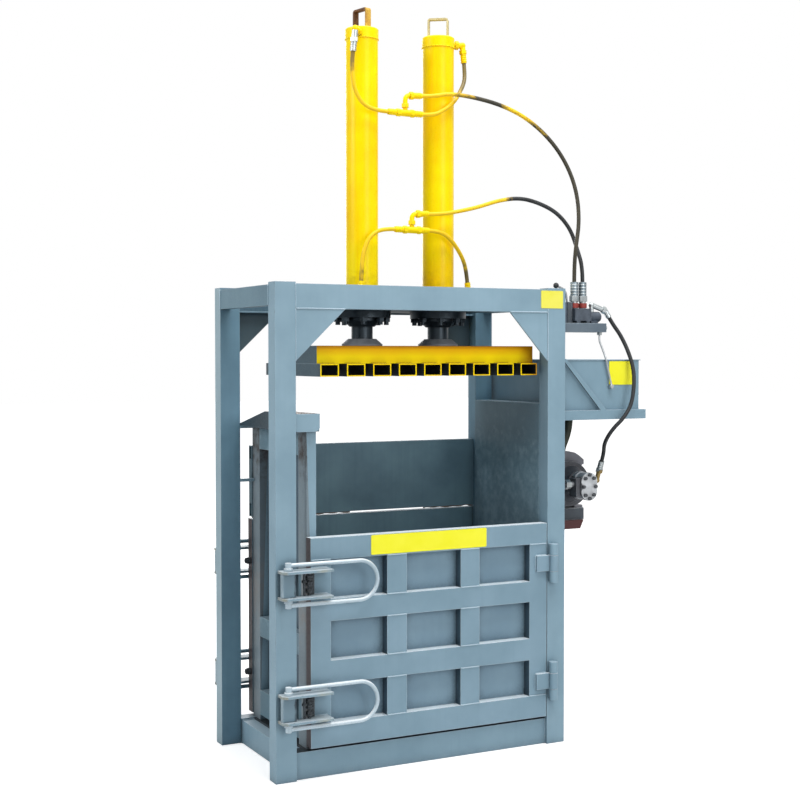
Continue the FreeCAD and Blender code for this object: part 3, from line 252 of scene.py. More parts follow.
def stretch_of(finish, where, axis, spans_mm, ragged_mm):
    """1 within stretches of one axis and 0 outside them, with ends as ragged as sprayed paint."""
    place = add(finish, "SeparateXYZ", [where], output=axis)
    drift = patches(finish, where, 30, 0.3, 0.7, -ragged_mm, ragged_mm)
    moved = add(finish, "Math", [place, 1000.0, drift], operation="MULTIPLY_ADD")
    total = 0.0
    for low, high in spans_mm:
        rise = add(finish, "MapRange", [moved, low - ragged_mm, low + ragged_mm])
        fall = add(finish, "MapRange", [moved, high + ragged_mm, high - ragged_mm])
        inside = add(finish, "Math", [rise, fall], operation="MULTIPLY", use_clamp=True)
        total = add(finish, "Math", [total, inside], operation="MAXIMUM", use_clamp=True)
    return total


def finish_off(finish, colour, roughness, bump, bump_height, strength, edge_mm=2.0, metallic=0.0,
               level=0.5):
    """Joins a colour, a roughness and a bump to the shader, and rounds sharp CAD edges a little."""
    rounded = add(finish, "Bevel", {"Radius": edge_mm / 1000}, samples=4)
    normal = add(finish, "Bump", {"Height": bump, "Normal": rounded, "Strength": strength,
                                  "Distance": bump_height})
    shader = add(finish, "BsdfPrincipled", {"Base Color": colour, "Roughness": roughness,
                                            "Metallic": metallic, "Specular IOR Level": level,
                                            "Normal": normal})
    add(finish, "OutputMaterial", {"Surface": shader})
    return finish


# %% [markdown]
# ## Sprayed enamel on rolled steel
# The frame, walls and doors are mild-steel sections, welded and then sprayed with one coat of blue-grey
# enamel. A sprayed coat is slightly cloudy, has fine orange peel, thins out over sharp edges, where it
# chips and rusts, gathers dark dirt in corners, and turns pale where dust lies on it. The same patterns
# also paint light and shade: corners and ledges are darkened as painted shade along with the dirt, what
# faces up is lightened as a painted highlight along with the dust, and edges are lightened as a painted
# highlight. All of that comes from patterns in one function, so that every enamel on the machine is made
# the same way with its own colours. A stain adds a second colour along one axis with ragged ends, such as
# oil at the foot of a cylinder, and a fade adds one that grows smoothly, such as the browned top edge of
# the platen. Some stains paint light or shade instead, and several enamels are darker or lighter copies
# of the frame enamel that paint shade or light where it falls.

# %% Enamel
CLOUD_MM = 260
LUMP_MM = 45
CHIP_MM = 24
RUN_MM = 22
SPECK_MM = 7
PEEL_MM = 5
CORNER_MM = 55


def enamel(name, deep, light, rust="#6B4A35", chips=0.35, shade_and_dirt="#33424B", shade_and_dirt_share=0.55,
           dust_and_highlight="#BCCDD7", dust_and_highlight_share=0.45, gloss=0.45, runs_and_reflection_streaks=0.25, level=0.35, edge_wear_and_highlight=0.25, stains_and_painted_light=(),
           fades=()):
    """Sprayed enamel: cloud of two shades, runs that can also paint reflection streaks, stains and painted
    light along an axis, settled dust with a painted top highlight, dirt with painted shade in corners,
    and edges painted lighter as rubbed paint and as a highlight.
    """
    finish = new_finish(name)
    where = add(finish, "TexCoord", output="Object")
    cloud = patches(finish, where, CLOUD_MM, 0.32, 0.68, detail=4)
    shade = coat(finish, linear(deep), linear(light), cloud)
    streak = patches(finish, where, RUN_MM, 0.50, 0.72, 0.0, runs_and_reflection_streaks, stretch=(1, 1, 30))
    shade = coat(finish, shade, linear(deep), streak)
    # Bands along one axis: real stains, and on some enamels painted light or shade.
    for colour, axis, low, high, share, ragged in stains_and_painted_light:
        lump = patches(finish, where, LUMP_MM, 0.40, 0.62, share * 0.4, share, detail=5, rough=0.65)
        spread = stretch_of(finish, where, axis, [(low, high)], ragged)
        shade = coat(finish, shade, linear(colour), spread, lump)
    for colour, axis, begin, full, share in fades:
        place = add(finish, "SeparateXYZ", [where], output=axis)
        depth = add(finish, "MapRange", [place, begin / 1000, full / 1000, 0.0, share])
        shade = coat(finish, shade, linear(colour), depth)
    rounded = add(finish, "Bevel", {"Radius": 0.005}, samples=4)
    # What faces up is lightened: dust, and a painted highlight from the light above.
    dust_and_top_highlight = facing_up(finish, rounded, dust_and_highlight_share)
    shade = coat(finish, shade, linear(dust_and_highlight), dust_and_top_highlight)
    # Corners and ledges are darkened: painted shade, together with dirt.
    corner = corner_shade_and_dirt(finish, CORNER_MM)
    speck = grain(finish, where, SPECK_MM, detail=2)
    shade_and_grime = add(finish, "MapRange", [speck, 0.3, 0.6, shade_and_dirt_share * 0.6, shade_and_dirt_share])
    outside_dust_and_top_highlight = add(finish, "Math", [1.0, dust_and_top_highlight], operation="SUBTRACT", use_clamp=True)
    shade = coat(finish, shade, linear(shade_and_dirt), corner, shade_and_grime, outside_dust_and_top_highlight)
    edge = edges_for_wear_and_highlight(finish, rounded)
    # Edges are lightened outside the corners: rubbed paint and a painted highlight.
    outside_corner_shade = add(finish, "Math", [1.0, corner], operation="SUBTRACT", use_clamp=True)
    shade = coat(finish, shade, linear(dust_and_highlight), edge, outside_corner_shade, edge_wear_and_highlight)
    chip = patches(finish, where, CHIP_MM, 0.56, 0.66, 0.0, chips, detail=5, rough=0.7)
    shade = coat(finish, shade, linear(rust), edge, chip)
    rough = add(finish, "MapRange", [speck, 0.3, 0.7, gloss - 0.06, gloss + 0.10])
    peel = grain(finish, where, PEEL_MM, detail=2)
    return finish_off(finish, shade, rough, peel, 0.0004, 0.35, level=level)


frame_enamel = enamel("blue_grey_enamel", "#7C99A9", "#89A6B6")
# A lighter copy of the frame enamel: painted light on the outer side of the left rear post.
painted_lit_side_enamel = enamel("blue_grey_enamel_painted_lit_side", "#87A0AB", "#95ADB8")
# A darker copy of the frame enamel for the side beams and the keeper strips; on the rear latch handles it is
# painted shade.
beam_enamel = enamel("blue_grey_enamel_darker", "#597786", "#658391", shade_and_dirt="#4A4E50")
tank_enamel = enamel("blue_grey_enamel_on_tank", "#7592A2", "#829FAF", shade_and_dirt="#54606A")
# A darker copy for the door recesses: painted shade that falls in them, with darker corners.
panel_enamel = enamel("blue_grey_enamel_recess_painted_shade", "#728EA0", "#809CAD", shade_and_dirt_share=0.75)
# A slightly darker copy of the frame enamel, as painted shade on the doors, which stand low; its near-white
# top is dust and a painted highlight on the lips of the recesses.
door_enamel = enamel("blue_grey_enamel_on_door", "#7693A3", "#839FB0", dust_and_highlight="#E2EDF3", dust_and_highlight_share=0.95,
                     edge_wear_and_highlight=0.4)
# A dark copy: painted shade on the sides of the door recesses, on the doors' undersides and on the outer skin
# of the left wall.
reveal_enamel = enamel("blue_grey_enamel_reveal", "#3A4D5A", "#495E6B", shade_and_dirt="#1E2A33", shade_and_dirt_share=0.8)
# A darker copy: painted shade on faces inside the frame, the rear posts' front faces and the rear beam's
# front face.
inner_enamel = enamel("blue_grey_enamel_inner_painted_shade", "#5C7D90", "#6C90A3", shade_and_dirt="#26333B", shade_and_dirt_share=0.6,
                      dust_and_highlight_share=0.25)
cap_side_enamel = enamel("blue_grey_enamel_in_shadow", "#28363E", "#374750", shade_and_dirt="#141B20",
                         dust_and_highlight_share=0.3)
# A dark copy: painted shade on the rear gussets' front faces, under the crown plate and on the platen's
# blue-grey sides.
gusset_shade = enamel("blue_grey_enamel_painted_shade", "#384B54", "#465A64", shade_and_dirt="#1C252B", dust_and_highlight_share=0.1)
# A near-black copy: painted shadow in gaps, under the tank brace, on the base beam in front below the door
# and inside and between the platen tubes.
painted_gap_shadow = enamel("blue_grey_enamel_painted_gap_shadow", "#1C2226", "#282F34", shade_and_dirt="#0C0F11", dust_and_highlight_share=0.05,
                   edge_wear_and_highlight=0.0)
# Scuffed and rusty; its dark band high up is a painted shadow of the opening between the post and the wall,
# and its pale brown band lower down is a stain.
scuffed_shadowed_enamel = enamel("blue_grey_enamel_scuffed_painted_shadow", "#6C7A82", "#7E8E97", rust="#6A5048", chips=0.85,
                        shade_and_dirt="#4A4244", shade_and_dirt_share=0.7,
                        stains_and_painted_light=[("#353130", "Z", 1190, 1345, 1.0, 60), ("#8C7F74", "Z", 560, 760, 0.5, 60)])
# The door's end face: rust, darkened as painted shade.
door_edge_enamel = enamel("rusty_door_edge_painted_shade", "#4A4044", "#64585A", rust="#3A2622", chips=0.9,
                          shade_and_dirt="#2A2224", shade_and_dirt_share=0.7, dust_and_highlight_share=0.3)
# The top of the left wall's cap: rust, darkened as painted shade of the slot there.
trough_enamel = enamel("rusty_trough_painted_shade", "#3A322E", "#54463E", rust="#2A1C14", chips=0.8, shade_and_dirt="#1A1412",
                       dust_and_highlight_share=0.0, edge_wear_and_highlight=0.6)
# Lighter than the frame enamel: a painted highlight on the round beads.
bead_enamel = enamel("blue_grey_enamel_on_weld_painted_highlight", "#93ADBC", "#A9C1CF", dust_and_highlight_share=0.8, chips=0.2)
# Its near-white top is dust and a painted highlight on the rods.
handle_enamel = enamel("handle_enamel", "#A8BCC8", "#C0D1DB", chips=0.5, rust="#7A6656", dust_and_highlight="#F0F6F9",
                       dust_and_highlight_share=0.9, gloss=0.25, level=0.5)
# Its dark band is a painted shadow strip beside the gap, and its pale band a painted highlight at the cam's
# left edge.
cam_enamel = enamel("cam_enamel", "#68818F", "#768F9D", chips=0.8, rust="#4A4440",
                    stains_and_painted_light=[("#2E3A44", "X", -592, -570, 1.0, 3), ("#9DB0BB", "X", -645, -637, 0.8, 2)])
# Its near-white top is dust and a painted highlight; its beige patches are stains.
clevis_enamel = enamel("clevis_enamel", "#7C96A5", "#8BA5B3", chips=0.95, rust="#4A443C", dust_and_highlight="#CBD6DC",
                       dust_and_highlight_share=0.75, edge_wear_and_highlight=0.5,
                       stains_and_painted_light=[("#948E76", "X", -650, -625, 0.8, 6), ("#B5AF90", "X", -500, -450, 0.45, 15)])
# A darker copy of the frame enamel, painted shade inside the chamber; its one band is painted light, lighter
# between 0.6 and 1.15 m up the walls.
chamber_enamel = enamel("chamber_enamel", "#587380", "#668390", shade_and_dirt="#33434C", shade_and_dirt_share=0.15,
                        dust_and_highlight_share=0.3, runs_and_reflection_streaks=0.35, stains_and_painted_light=[("#86A0AE", "Z", 600, 1150, 0.9, 150)])
# A darker copy: painted shade on the rear panel and on the doors' chamber side.
rear_panel_enamel = enamel("rear_panel_enamel", "#506E7D", "#6A8B98", shade_and_dirt="#2E3B43", shade_and_dirt_share=0.5,
                           dust_and_highlight_share=0.3, runs_and_reflection_streaks=0.3)
yellow_enamel = enamel("yellow_enamel", "#FBD300", "#FFE100", rust="#8A6A20", shade_and_dirt="#C08000",
                       shade_and_dirt_share=0.5, dust_and_highlight="#FFEC50", dust_and_highlight_share=0.3, gloss=0.34, runs_and_reflection_streaks=0.15, level=0.15)
# On the barrels the runs are strong and also paint vertical reflection bands; the stain at the foot is oil
# and dirt.
barrel_enamel = enamel("yellow_enamel_on_barrel", "#F7C600", "#FFE700", rust="#8A6A20", shade_and_dirt="#C08000",
                       shade_and_dirt_share=0.4, dust_and_highlight_share=0.0, gloss=0.30, runs_and_reflection_streaks=0.55, level=0.15, edge_wear_and_highlight=0.0,
                       stains_and_painted_light=[("#A47A10", "Z", 1820, 1930, 0.5, 40)])
platen_enamel = enamel("yellow_enamel_on_platen", "#FFD400", "#FFE300", rust="#7A5210", chips=0.7,
                       shade_and_dirt="#6B3E08", shade_and_dirt_share=0.2, dust_and_highlight="#7A4E0C", dust_and_highlight_share=0.95, gloss=0.4,
                       runs_and_reflection_streaks=0.1, level=0.1, edge_wear_and_highlight=0.0,
                       fades=[("#E39A00", "Z", 1618, 1650, 0.85), ("#8A5200", "Z", 1645, 1662, 0.85),
                              ("#C8800C", "X", 470, 532, 0.85), ("#C07C10", "X", -462, -486, 0.6)])
motor_enamel = enamel("motor_enamel", "#7F8087", "#91929A", shade_and_dirt="#2C2D31", dust_and_highlight="#A8AAB0",
                      dust_and_highlight_share=0.35, gloss=0.5)
red_primer = enamel("red_primer", "#4E2C2F", "#5E3A3A", rust="#3A2422", shade_and_dirt="#241A1A", dust_and_highlight="#7A5A58",
                    dust_and_highlight_share=0.35, gloss=0.6)
# A darker copy: painted shadow of the valve on its bracket.
bracket_painted_shadow_enamel = enamel("bracket_painted_shadow_enamel", "#566470", "#6A7882", shade_and_dirt="#2A3036", chips=0.6)
# Its near-white top is dust and a painted highlight.
base_enamel = enamel("motor_box_enamel", "#41474E", "#525A62", shade_and_dirt="#20252A", dust_and_highlight="#E2E7EA",
                     dust_and_highlight_share=0.95, gloss=0.5)
print("enamels", [m.name for m in bpy.data.materials if "enamel" in m.name])

# %% [markdown]
# ## Bare and blackened metal
# Piston rods, glands and bolts carry a film of black grease over steel. Fittings are zinc plated and dull
# from handling, the pump is a sand-cast aluminium housing. Metals keep the shader's own IOR and get
# their look from colour, roughness and a cast or turned grain.


# %% Metals
def metal(name, deep, light, rough=(0.35, 0.55), grain_mm=3.0, height=0.0003, stretch=(1, 1, 1),
          metallic=1.0, shade_and_grime="#1E1E1E", shade_and_grime_share=0.5, bright=None):
    """Metal: two cloudy shades, painted shade with grime in corners, a fine grain, and edges painted bright
    as wear and as a highlight if asked.
    """
    finish = new_finish(name)
    where = add(finish, "TexCoord", output="Object")
    cloud = grain(finish, where, 40, detail=4)
    shade = coat(finish, linear(deep), linear(light), add(finish, "MapRange", [cloud, 0.3, 0.7]))
    film = add(finish, "MapRange", [cloud, 0.2, 0.6, shade_and_grime_share * 0.6, shade_and_grime_share])
    # Corners are darkened: painted shade, together with grime.
    shade = coat(finish, shade, linear(shade_and_grime), corner_shade_and_dirt(finish, 15), film)
    if bright:
        # Edges are painted bright: wear and a painted highlight.
        edge = edges_for_wear_and_highlight(finish, add(finish, "Bevel", {"Radius": 0.002}, samples=4))
        edge_wear_and_highlight = add(finish, "MapRange", [edge, 0.2, 1.0, 0.0, 0.7])
        shade = coat(finish, shade, linear(bright), edge_wear_and_highlight)
    roughness = add(finish, "MapRange", [cloud, 0.3, 0.7, *rough])
    fine = grain(finish, where, grain_mm, stretch=stretch)
    return finish_off(finish, shade, roughness, fine, height, 0.4, 1.0, metallic)


greased_steel = metal("greased_steel", "#283138", "#3D4850", rough=(0.25, 0.45), metallic=0.6,
                      bright="#4B5862")
collar_steel = metal("dusty_collar_steel", "#83868C", "#9DA0A6", rough=(0.5, 0.7), metallic=0.1,
                     shade_and_grime_share=0.3)
zinc_plate = metal("zinc_plate", "#9FA6A8", "#BEC4C5", rough=(0.28, 0.42), grain_mm=2)
dull_zinc = metal("dull_blue_zinc", "#6F7C84", "#8B979D", rough=(0.35, 0.5), grain_mm=2)
red_ring = metal("red_sealing_ring", "#8A2F28", "#A23A30", rough=(0.5, 0.6), metallic=0.0, grain_mm=3)
brass = metal("aged_brass", "#85734C", "#A38D5E", rough=(0.35, 0.5), grain_mm=2)
rusty_steel = metal("rusty_stud_steel", "#262A2E", "#454B50", rough=(0.5, 0.7), metallic=0.3, grain_mm=4,
                    height=0.001, bright="#8B979F")
cast_aluminium = metal("cast_aluminium", "#B4B8BC", "#D2D6DA", rough=(0.4, 0.6), grain_mm=2,
                       height=0.0006)
black_bolt = metal("black_bolt_steel", "#4A4D51", "#5C6064", rough=(0.4, 0.55), metallic=0.7)
cast_iron = metal("painted_cast_iron", "#44464C", "#585B61", rough=(0.5, 0.65), metallic=0.1,
                  grain_mm=3, height=0.0008, bright="#A9ADB2")
valve_iron = metal("valve_cast_iron", "#353D47", "#525C68", rough=(0.45, 0.6), metallic=0.2, grain_mm=3,
                   height=0.0008, bright="#7E8894")
lever_steel = metal("lever_steel", "#8D9295", "#A7ACAF", rough=(0.35, 0.5))
drawn_steel_pipe = metal("drawn_steel_pipe", "#A6AAAD", "#C2C6C9", rough=(0.3, 0.42),
                         stretch=(1, 1, 8))
floor_plate_steel = metal("floor_plate_steel", "#2C3236", "#454D52", rough=(0.45, 0.6), metallic=0.5,
                          grain_mm=6)
lug_rusty = metal("rusty_lug_bar", "#4A2E18", "#70482A", rough=(0.5, 0.7), metallic=0.1)
lug_sprayed = metal("oversprayed_lug_bar", "#A87A22", "#D0AC40", rough=(0.5, 0.7), metallic=0.0,
                    shade_and_grime="#8A5A20")
lug_pale = metal("pale_lug_bar", "#A99C6A", "#C8BD92", rough=(0.5, 0.7), metallic=0.0, shade_and_grime="#8A7A40")

# %% [markdown]
# ## Rubber
# Hose rubber is black and cured under a cloth wrap, which leaves a faint weave of about 1.5 mm. That is
# finer than a pixel here, so a noise of 3 mm stands for it. The cylinders were sprayed with the hoses in
# place, so the stretches near the cylinders are yellow and end in a ragged fade.

# %% Rubber
WEAVE_MM = 3
HOSE_YELLOW = "#F0C410"


def rubber(name, deep, light, roughness=0.5, spray=None):
    """Hose rubber; spray is (colour, axis, stretches in mm, raggedness) of paint that lies over it."""
    finish = new_finish(name)
    where = add(finish, "TexCoord", output="Object")
    shade = coat(finish, linear(deep), linear(light), patches(finish, where, 60, 0.3, 0.7, detail=4))
    if spray:
        colour, axis, stretches, ragged = spray
        shade = coat(finish, shade, linear(colour), stretch_of(finish, where, axis, stretches, ragged))
    weave = grain(finish, where, WEAVE_MM, detail=1)
    return finish_off(finish, shade, roughness, weave, 0.0005, 0.5, 0.5, level=0.35)


hose_rubber = rubber("wrapped_hose_rubber", "#1D1F21", "#2E3133")
suction_rubber = rubber("suction_rubber", "#24281F", "#3A3F33", roughness=0.6)
hose_finishes = {
    "pump_hose": hose_rubber,
    "suction_hose": suction_rubber,
    "feed_hose_upper": rubber("upper_feed_hose_rubber", "#2A2820", "#403C2E",
                              spray=(HOSE_YELLOW, "X", [(0, 270), (480, 590)], 50)),
    "feed_hose_lower": rubber("lower_feed_hose_rubber", "#1D1F21", "#2E3133",
                              spray=(HOSE_YELLOW, "X", [(0, 470)], 30)),
    "jumper_hose_upper_left": rubber("upper_left_jumper_rubber", "#6E5A2A", "#8E7734",
                                     spray=(HOSE_YELLOW, "Z", [(2500, 2770)], 40)),
    "jumper_hose_upper_right": rubber("upper_right_jumper_rubber", "#6A5C38", "#857548",
                                      spray=(HOSE_YELLOW, "Z", [(2500, 2715)], 30)),
    "jumper_hose_lower_left": rubber("lower_left_jumper_rubber", "#7A6424", "#927A34",
                                     spray=(HOSE_YELLOW, "Z", [(1960, 2300)], 30)),
    "jumper_hose_lower_right": rubber("lower_right_jumper_rubber", "#5A5034", "#766840",
                                      spray=(HOSE_YELLOW, "Z", [(1990, 2300)], 30)),
}
for node, hose in hoses.items():
    hose.data.materials.append(hose_finishes[node])
print("hose finishes", len(hose_finishes))

# %% [markdown]
# ## Dress the CAD nodes
# Every node of the CAD model keeps its mesh and only gets finishes. Where one node holds two finishes,
# such as a platen that is yellow in front and dark blue-grey at its side, where the paint is blue-grey
# and its darkness is painted shade, the faces are told apart by where they are and where they point, in
# metres. Faces in recesses, gaps and inside the frame take darker copies of the enamel as painted shade,
# and a few outer faces take a lighter copy as painted light.


# %% Node finishes
def dress(nodes, *finishes, choose=None):
    """Gives CAD nodes their finishes; choose(centre, normal) says which one a face takes."""
    for node in nodes.split():
        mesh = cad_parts[node].data
        mesh.materials.clear()
        for finish in finishes:
            mesh.materials.append(finish)
        for face in mesh.polygons:
            face.material_index = choose(face.center, face.normal) if choose else 0


DOOR_FACE_Y = 0.330
RECESS_Y = 0.290
CLEVIS_END_X = -0.43
LATCH_X = -0.612
LATCH_ZS = (0.288, 0.7575)
HINGE_ZS = (0.268, 0.760)
LEAF, RECESS, RECESS_SIDE, CLEVIS, CHAMBER_SIDE, FREE_EDGE, BOLT = range(7)


def door_zone(side):
    """Finish of a door's face, by where it is and where it points; side is -1 in front, 1 behind."""
    def zone(at, way):
        depth = at.y * side
        if depth > DOOR_FACE_Y + 0.002 and at.x < CLEVIS_END_X:
            return CLEVIS
        if at.x < -0.507 and depth < DOOR_FACE_Y:
            return BOLT
        if at.x < -0.505 and way.x < -0.5:
            return FREE_EDGE
        if depth < RECESS_Y - 0.003:
            return CHAMBER_SIDE
        if abs(depth - RECESS_Y) < 0.001 and way.y * side > 0.5:
            return RECESS
        in_panels = CLEVIS_END_X < at.x < 0.49 and 0.2 < at.z < 0.85
        inside = in_panels and RECESS_Y < depth < DOOR_FACE_Y - 0.001
        return RECESS_SIDE if inside and way.x < -0.5 or way.z < -0.5 and at.z < 0.125 else LEAF
    return zone


# %% Frame, walls and doors
dress("post_front_left post_front_right crown_channels base_beams_side floor_bearers "
      "post_hinge_knuckles", frame_enamel)
dress("tank_body tank_lid", tank_enamel)
# The lower side of the tank brace and the tops of the base beams in front take the near-black copy: painted
# shadow in the gaps.
dress("tank_shelf", tank_enamel, painted_gap_shadow,
      choose=lambda at, way: int(way.z < -0.3 and way.x < -0.3 and abs(at.y) > 0.31))
dress("base_beams_cross", tank_enamel, painted_gap_shadow,
      choose=lambda at, way: int(way.z > 0.5 and at.z > 0.1 and at.y < 0))
# The cap's side takes painted shade, and its top is rust darkened as painted shade of the slot.
dress("left_wall_cap", frame_enamel, cap_side_enamel, trough_enamel,
      choose=lambda at, way: 1 if way.x < -0.5 else 2 if way.z > 0.9 and at.z > 1.39 else 0)
# The bracket is in the valve's painted shadow; its end beyond the valve takes the frame enamel.
dress("valve_bracket", bracket_painted_shadow_enamel, frame_enamel, choose=lambda at, way: int(at.x > 0.874))
# The rear posts' front faces and the right post's inner side take painted shade; the left post's outer side
# takes painted light.
dress("post_rear_left post_rear_right", frame_enamel, inner_enamel, painted_lit_side_enamel,
      choose=lambda at, way: 1 if way.y < -0.5 or at.x > 0 and way.x < -0.5 else
      2 if way.x < -0.5 else 0)
# The rear beam's front face, the rear gussets' front faces and the crown plate's underside and sides take
# painted shade; the side beams take a darker copy.
dress("top_beams_cross", frame_enamel, inner_enamel, choose=lambda at, way: int(way.y < -0.5 and at.y > 0))
dress("top_beams_side", beam_enamel)
dress("corner_gussets", frame_enamel, gusset_shade, choose=lambda at, way: int(way.y < -0.5 and at.y > 0))
dress("crown_plate", frame_enamel, gusset_shade, choose=lambda at, way: int(way.z < 0.5))
dress("left_wall_posts", frame_enamel, scuffed_shadowed_enamel,
      choose=lambda at, way: int(way.x < -0.5 or way.y < -0.5 and at.x < -0.48))
# The left wall's outer skin takes painted shade; the chamber walls and the rear panel take darker copies that
# paint shade, and light lower down in the chamber.
dress("left_wall_panel", chamber_enamel, reveal_enamel,
      choose=lambda at, way: int(way.x < -0.5 and at.x > -0.475))
dress("right_wall_panel", chamber_enamel)
dress("rear_upper_panel", rear_panel_enamel, frame_enamel, choose=lambda at, way: int(way.y > 0.5))
dress("chamber_floor", floor_plate_steel)
# On the doors the recesses, their sides, the undersides and the chamber side take darker copies as painted
# shade, and the end face rust with painted shade.
for door, side in (("front_door", -1), ("rear_door", 1)):
    dress(door, door_enamel, panel_enamel, reveal_enamel, clevis_enamel, rear_panel_enamel,
          door_edge_enamel, black_bolt, choose=door_zone(side))


def cam_zone(at, way):
    """1 on the cam block between the clevis plates, 0 on the rest of a latch handle."""
    return int(at.x < LATCH_X + 0.029 and min(abs(at.z - z) for z in LATCH_ZS) < 0.044)


dress("latch_handle_front_upper latch_handle_front_lower", handle_enamel, cam_enamel, choose=cam_zone)
# The rear latch handles take the darker copy, as painted shade.
dress("latch_handle_rear_upper latch_handle_rear_lower", beam_enamel, cam_enamel, choose=cam_zone)

# %% Press, hydraulics and drive
dress("cylinder_barrel_left cylinder_barrel_right", barrel_enamel, greased_steel,
      choose=lambda at, way: int(at.z < 1.80))
dress("cylinder_end_caps hose_tees", yellow_enamel)
dress("port_fittings", yellow_enamel, zinc_plate,
      choose=lambda at, way: int(at.x < 0.0 and 2.82 < at.z < 2.916))
dress("lifting_lugs", lug_rusty, lug_sprayed, lug_pale,
      choose=lambda at, way: 2 if at.x > 0.05 else int(at.y < -0.025))
dress("gland_nuts flange_bolts pistons motor_shaft", greased_steel)
dress("piston_rods", greased_steel, collar_steel, choose=lambda at, way: int(at.z < 1.692))
# The platen's sides, top and bottom take the dark copy, painted shade on blue-grey paint, and the faces
# inside and between its tubes the near-black one, painted shadow.
dress("platen_box platen_tubes", platen_enamel, gusset_shade, painted_gap_shadow,
      choose=lambda at, way: 0 if abs(way.y) > 0.5 and abs(at.y) > 0.24 else
      2 if at.z < 1.589 and at.z > 1.541 and not (at.x < -0.443 and way.x < 0) else 1)
dress("valve_body", valve_iron, base_enamel,
      choose=lambda at, way: int(0.705 < at.x < 0.723 and at.y < -0.262))
dress("valve_fittings", zinc_plate, dull_zinc, red_ring,
      choose=lambda at, way: 2 if at.x < 0.82 and 1.822 < at.z < 1.844 else
      1 if at.x < 0.82 and at.z > 1.874 else 0)
dress("valve_lever", lever_steel, hose_rubber, choose=lambda at, way: int(at.x < 0.669))
dress("return_pipe", drawn_steel_pipe)
dress("motor_body motor_fan_cowl terminal_box", motor_enamel)
dress("bell_housing", cast_iron)
dress("gear_pump", cast_aluminium, black_bolt, brass, cast_iron, zinc_plate,
      choose=lambda at, way: 1 if at.y < -0.2255 and at.x < 0.9 else
      2 if at.x > 0.889 and at.z < 1.12 else
      4 if at.x > 0.889 or 0.743 < at.x < 0.771 else 3 if at.x < 0.812 and at.x > 0.786 else
      3 if at.x < 0.743 else 0)
dress("motor_base", red_primer, base_enamel, choose=lambda at, way: int(at.z > 0.8925))
undressed = [n for n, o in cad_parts.items()
             if n not in hose_routes and not all(o.data.materials)]
print("nodes without a finish:", undressed)

# %% [markdown]
# ## Weld beads
# The machine is welded from plain sections, and every seam shows a bead of ripples. A bead could be
# painted on as bump, but its shine comes from its round back, so it is a thin tube of rings whose
# radius swells and shrinks. The beads on the frame and the doors take a lighter enamel, a painted
# highlight. The ripples of a real bead are about 2 mm apart and are drawn 8 mm apart, because finer
# ones would not show.

# %% Bead builder
BEAD_R = 0.0034
RIPPLE = 0.008


def skin(mesh, rings):
    """Joins rings of vertices into a closed tube with flat ends."""
    sides = len(rings[0])
    for low, high in zip(rings, rings[1:]):
        for k in range(sides):
            mesh.faces.new((low[k], low[(k + 1) % sides], high[(k + 1) % sides], high[k]))
    mesh.faces.new(reversed(rings[0]))
    mesh.faces.new(rings[-1])


def bead_along(mesh, start, end):
    """One rippled bead from start to end, its ends drawn in."""
    start, end = Vector(start), Vector(end)
    axis = (end - start).normalized()
    side = axis.orthogonal().normalized()
    up = axis.cross(side)
    count = max(2, round((end - start).length / RIPPLE)) * 2
    rings = []
    for i in range(count + 1):
        radius = BEAD_R * (1.0 if i % 2 else 0.78) * (0.5 if i in (0, count) else 1.0)
        middle = start.lerp(end, i / count) + side * 0.0004 * math.sin(i * 1.7)
        turns = [math.radians(60 * k) for k in range(6)]
        rings.append([mesh.verts.new(middle + (side * math.cos(t) + up * math.sin(t)) * radius)
                      for t in turns])
    skin(mesh, rings)


def place_piece(name, mesh, body, finish, smooth=True):
    """Turns a bmesh into an object that rides on a body."""
    data = bpy.data.meshes.new(name)
    bmesh.ops.recalc_face_normals(mesh, faces=mesh.faces)
    mesh.to_mesh(data)
    mesh.free()
    for face in data.polygons:
        face.use_smooth = smooth
    data.materials.append(finish)
    piece = bpy.data.objects.new(name, data)
    bpy.context.scene.collection.objects.link(piece)
    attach(piece, body)
    return piece


def weld(name, body, seams, finish=bead_enamel):
    """All the beads of one body as one piece."""
    mesh = bmesh.new()
    for start, end in seams:
        bead_along(mesh, start, end)
    return place_piece(name, mesh, body, finish)


# %% Seams of the frame
POST_IN_X = 0.565
FRAME_FACE_Y = 0.3288
BASE_FACE_Y = 0.3152
FRAME_SIDE_X = 0.6502
SIDE_BEAM_Y = 0.265
BEAM_LOW_Z = 1.800
GUSSET_LEGS = {(-1, -1): (0.208, 0.200), (1, -1): (0.183, 0.202),
               (-1, 1): (0.194, 0.184), (1, 1): (0.225, 0.250)}
seams = []
for (east, north), (along, down) in GUSSET_LEGS.items():
    x, y = east * POST_IN_X, north * FRAME_FACE_Y
    plated = east > 0 and north < 0
    seams.append(((x, y, BEAM_LOW_Z), (x, y, 1.813 if plated else 1.894)))
    seams.append(((x, y, BEAM_LOW_Z), (x - east * along, y, BEAM_LOW_Z)))
    seams.append(((x, y, BEAM_LOW_Z - 0.002), (x, y, BEAM_LOW_Z - down)))
    seams.append(((x, north * BASE_FACE_Y, 0.004), (x, north * BASE_FACE_Y, 0.105)))
    x, y = east * FRAME_SIDE_X, north * SIDE_BEAM_Y
    seams.append(((x, y, 1.812), (x, y, 1.891)))
for x in (-0.522, 0.522):
    for y in (-0.2555, 0.2555):
        seams.append(((x - 0.040, y, 0.0975), (x + 0.040, y, 0.0975)))
for z in HINGE_ZS:
    for y in (-0.3312, 0.3312):
        for x in (0.5755, 0.5945):
            for low in (z - 0.080, z + 0.034):
                seams.append(((x, y, low), (x, y, low + 0.046)))
for y in (-0.2045, 0.2045):
    for low, high in ((0.127, 0.230), (0.455, 0.537), (1.235, 1.320)):
        seams.append(((-0.4985, y, low), (-0.4985, y, high)))
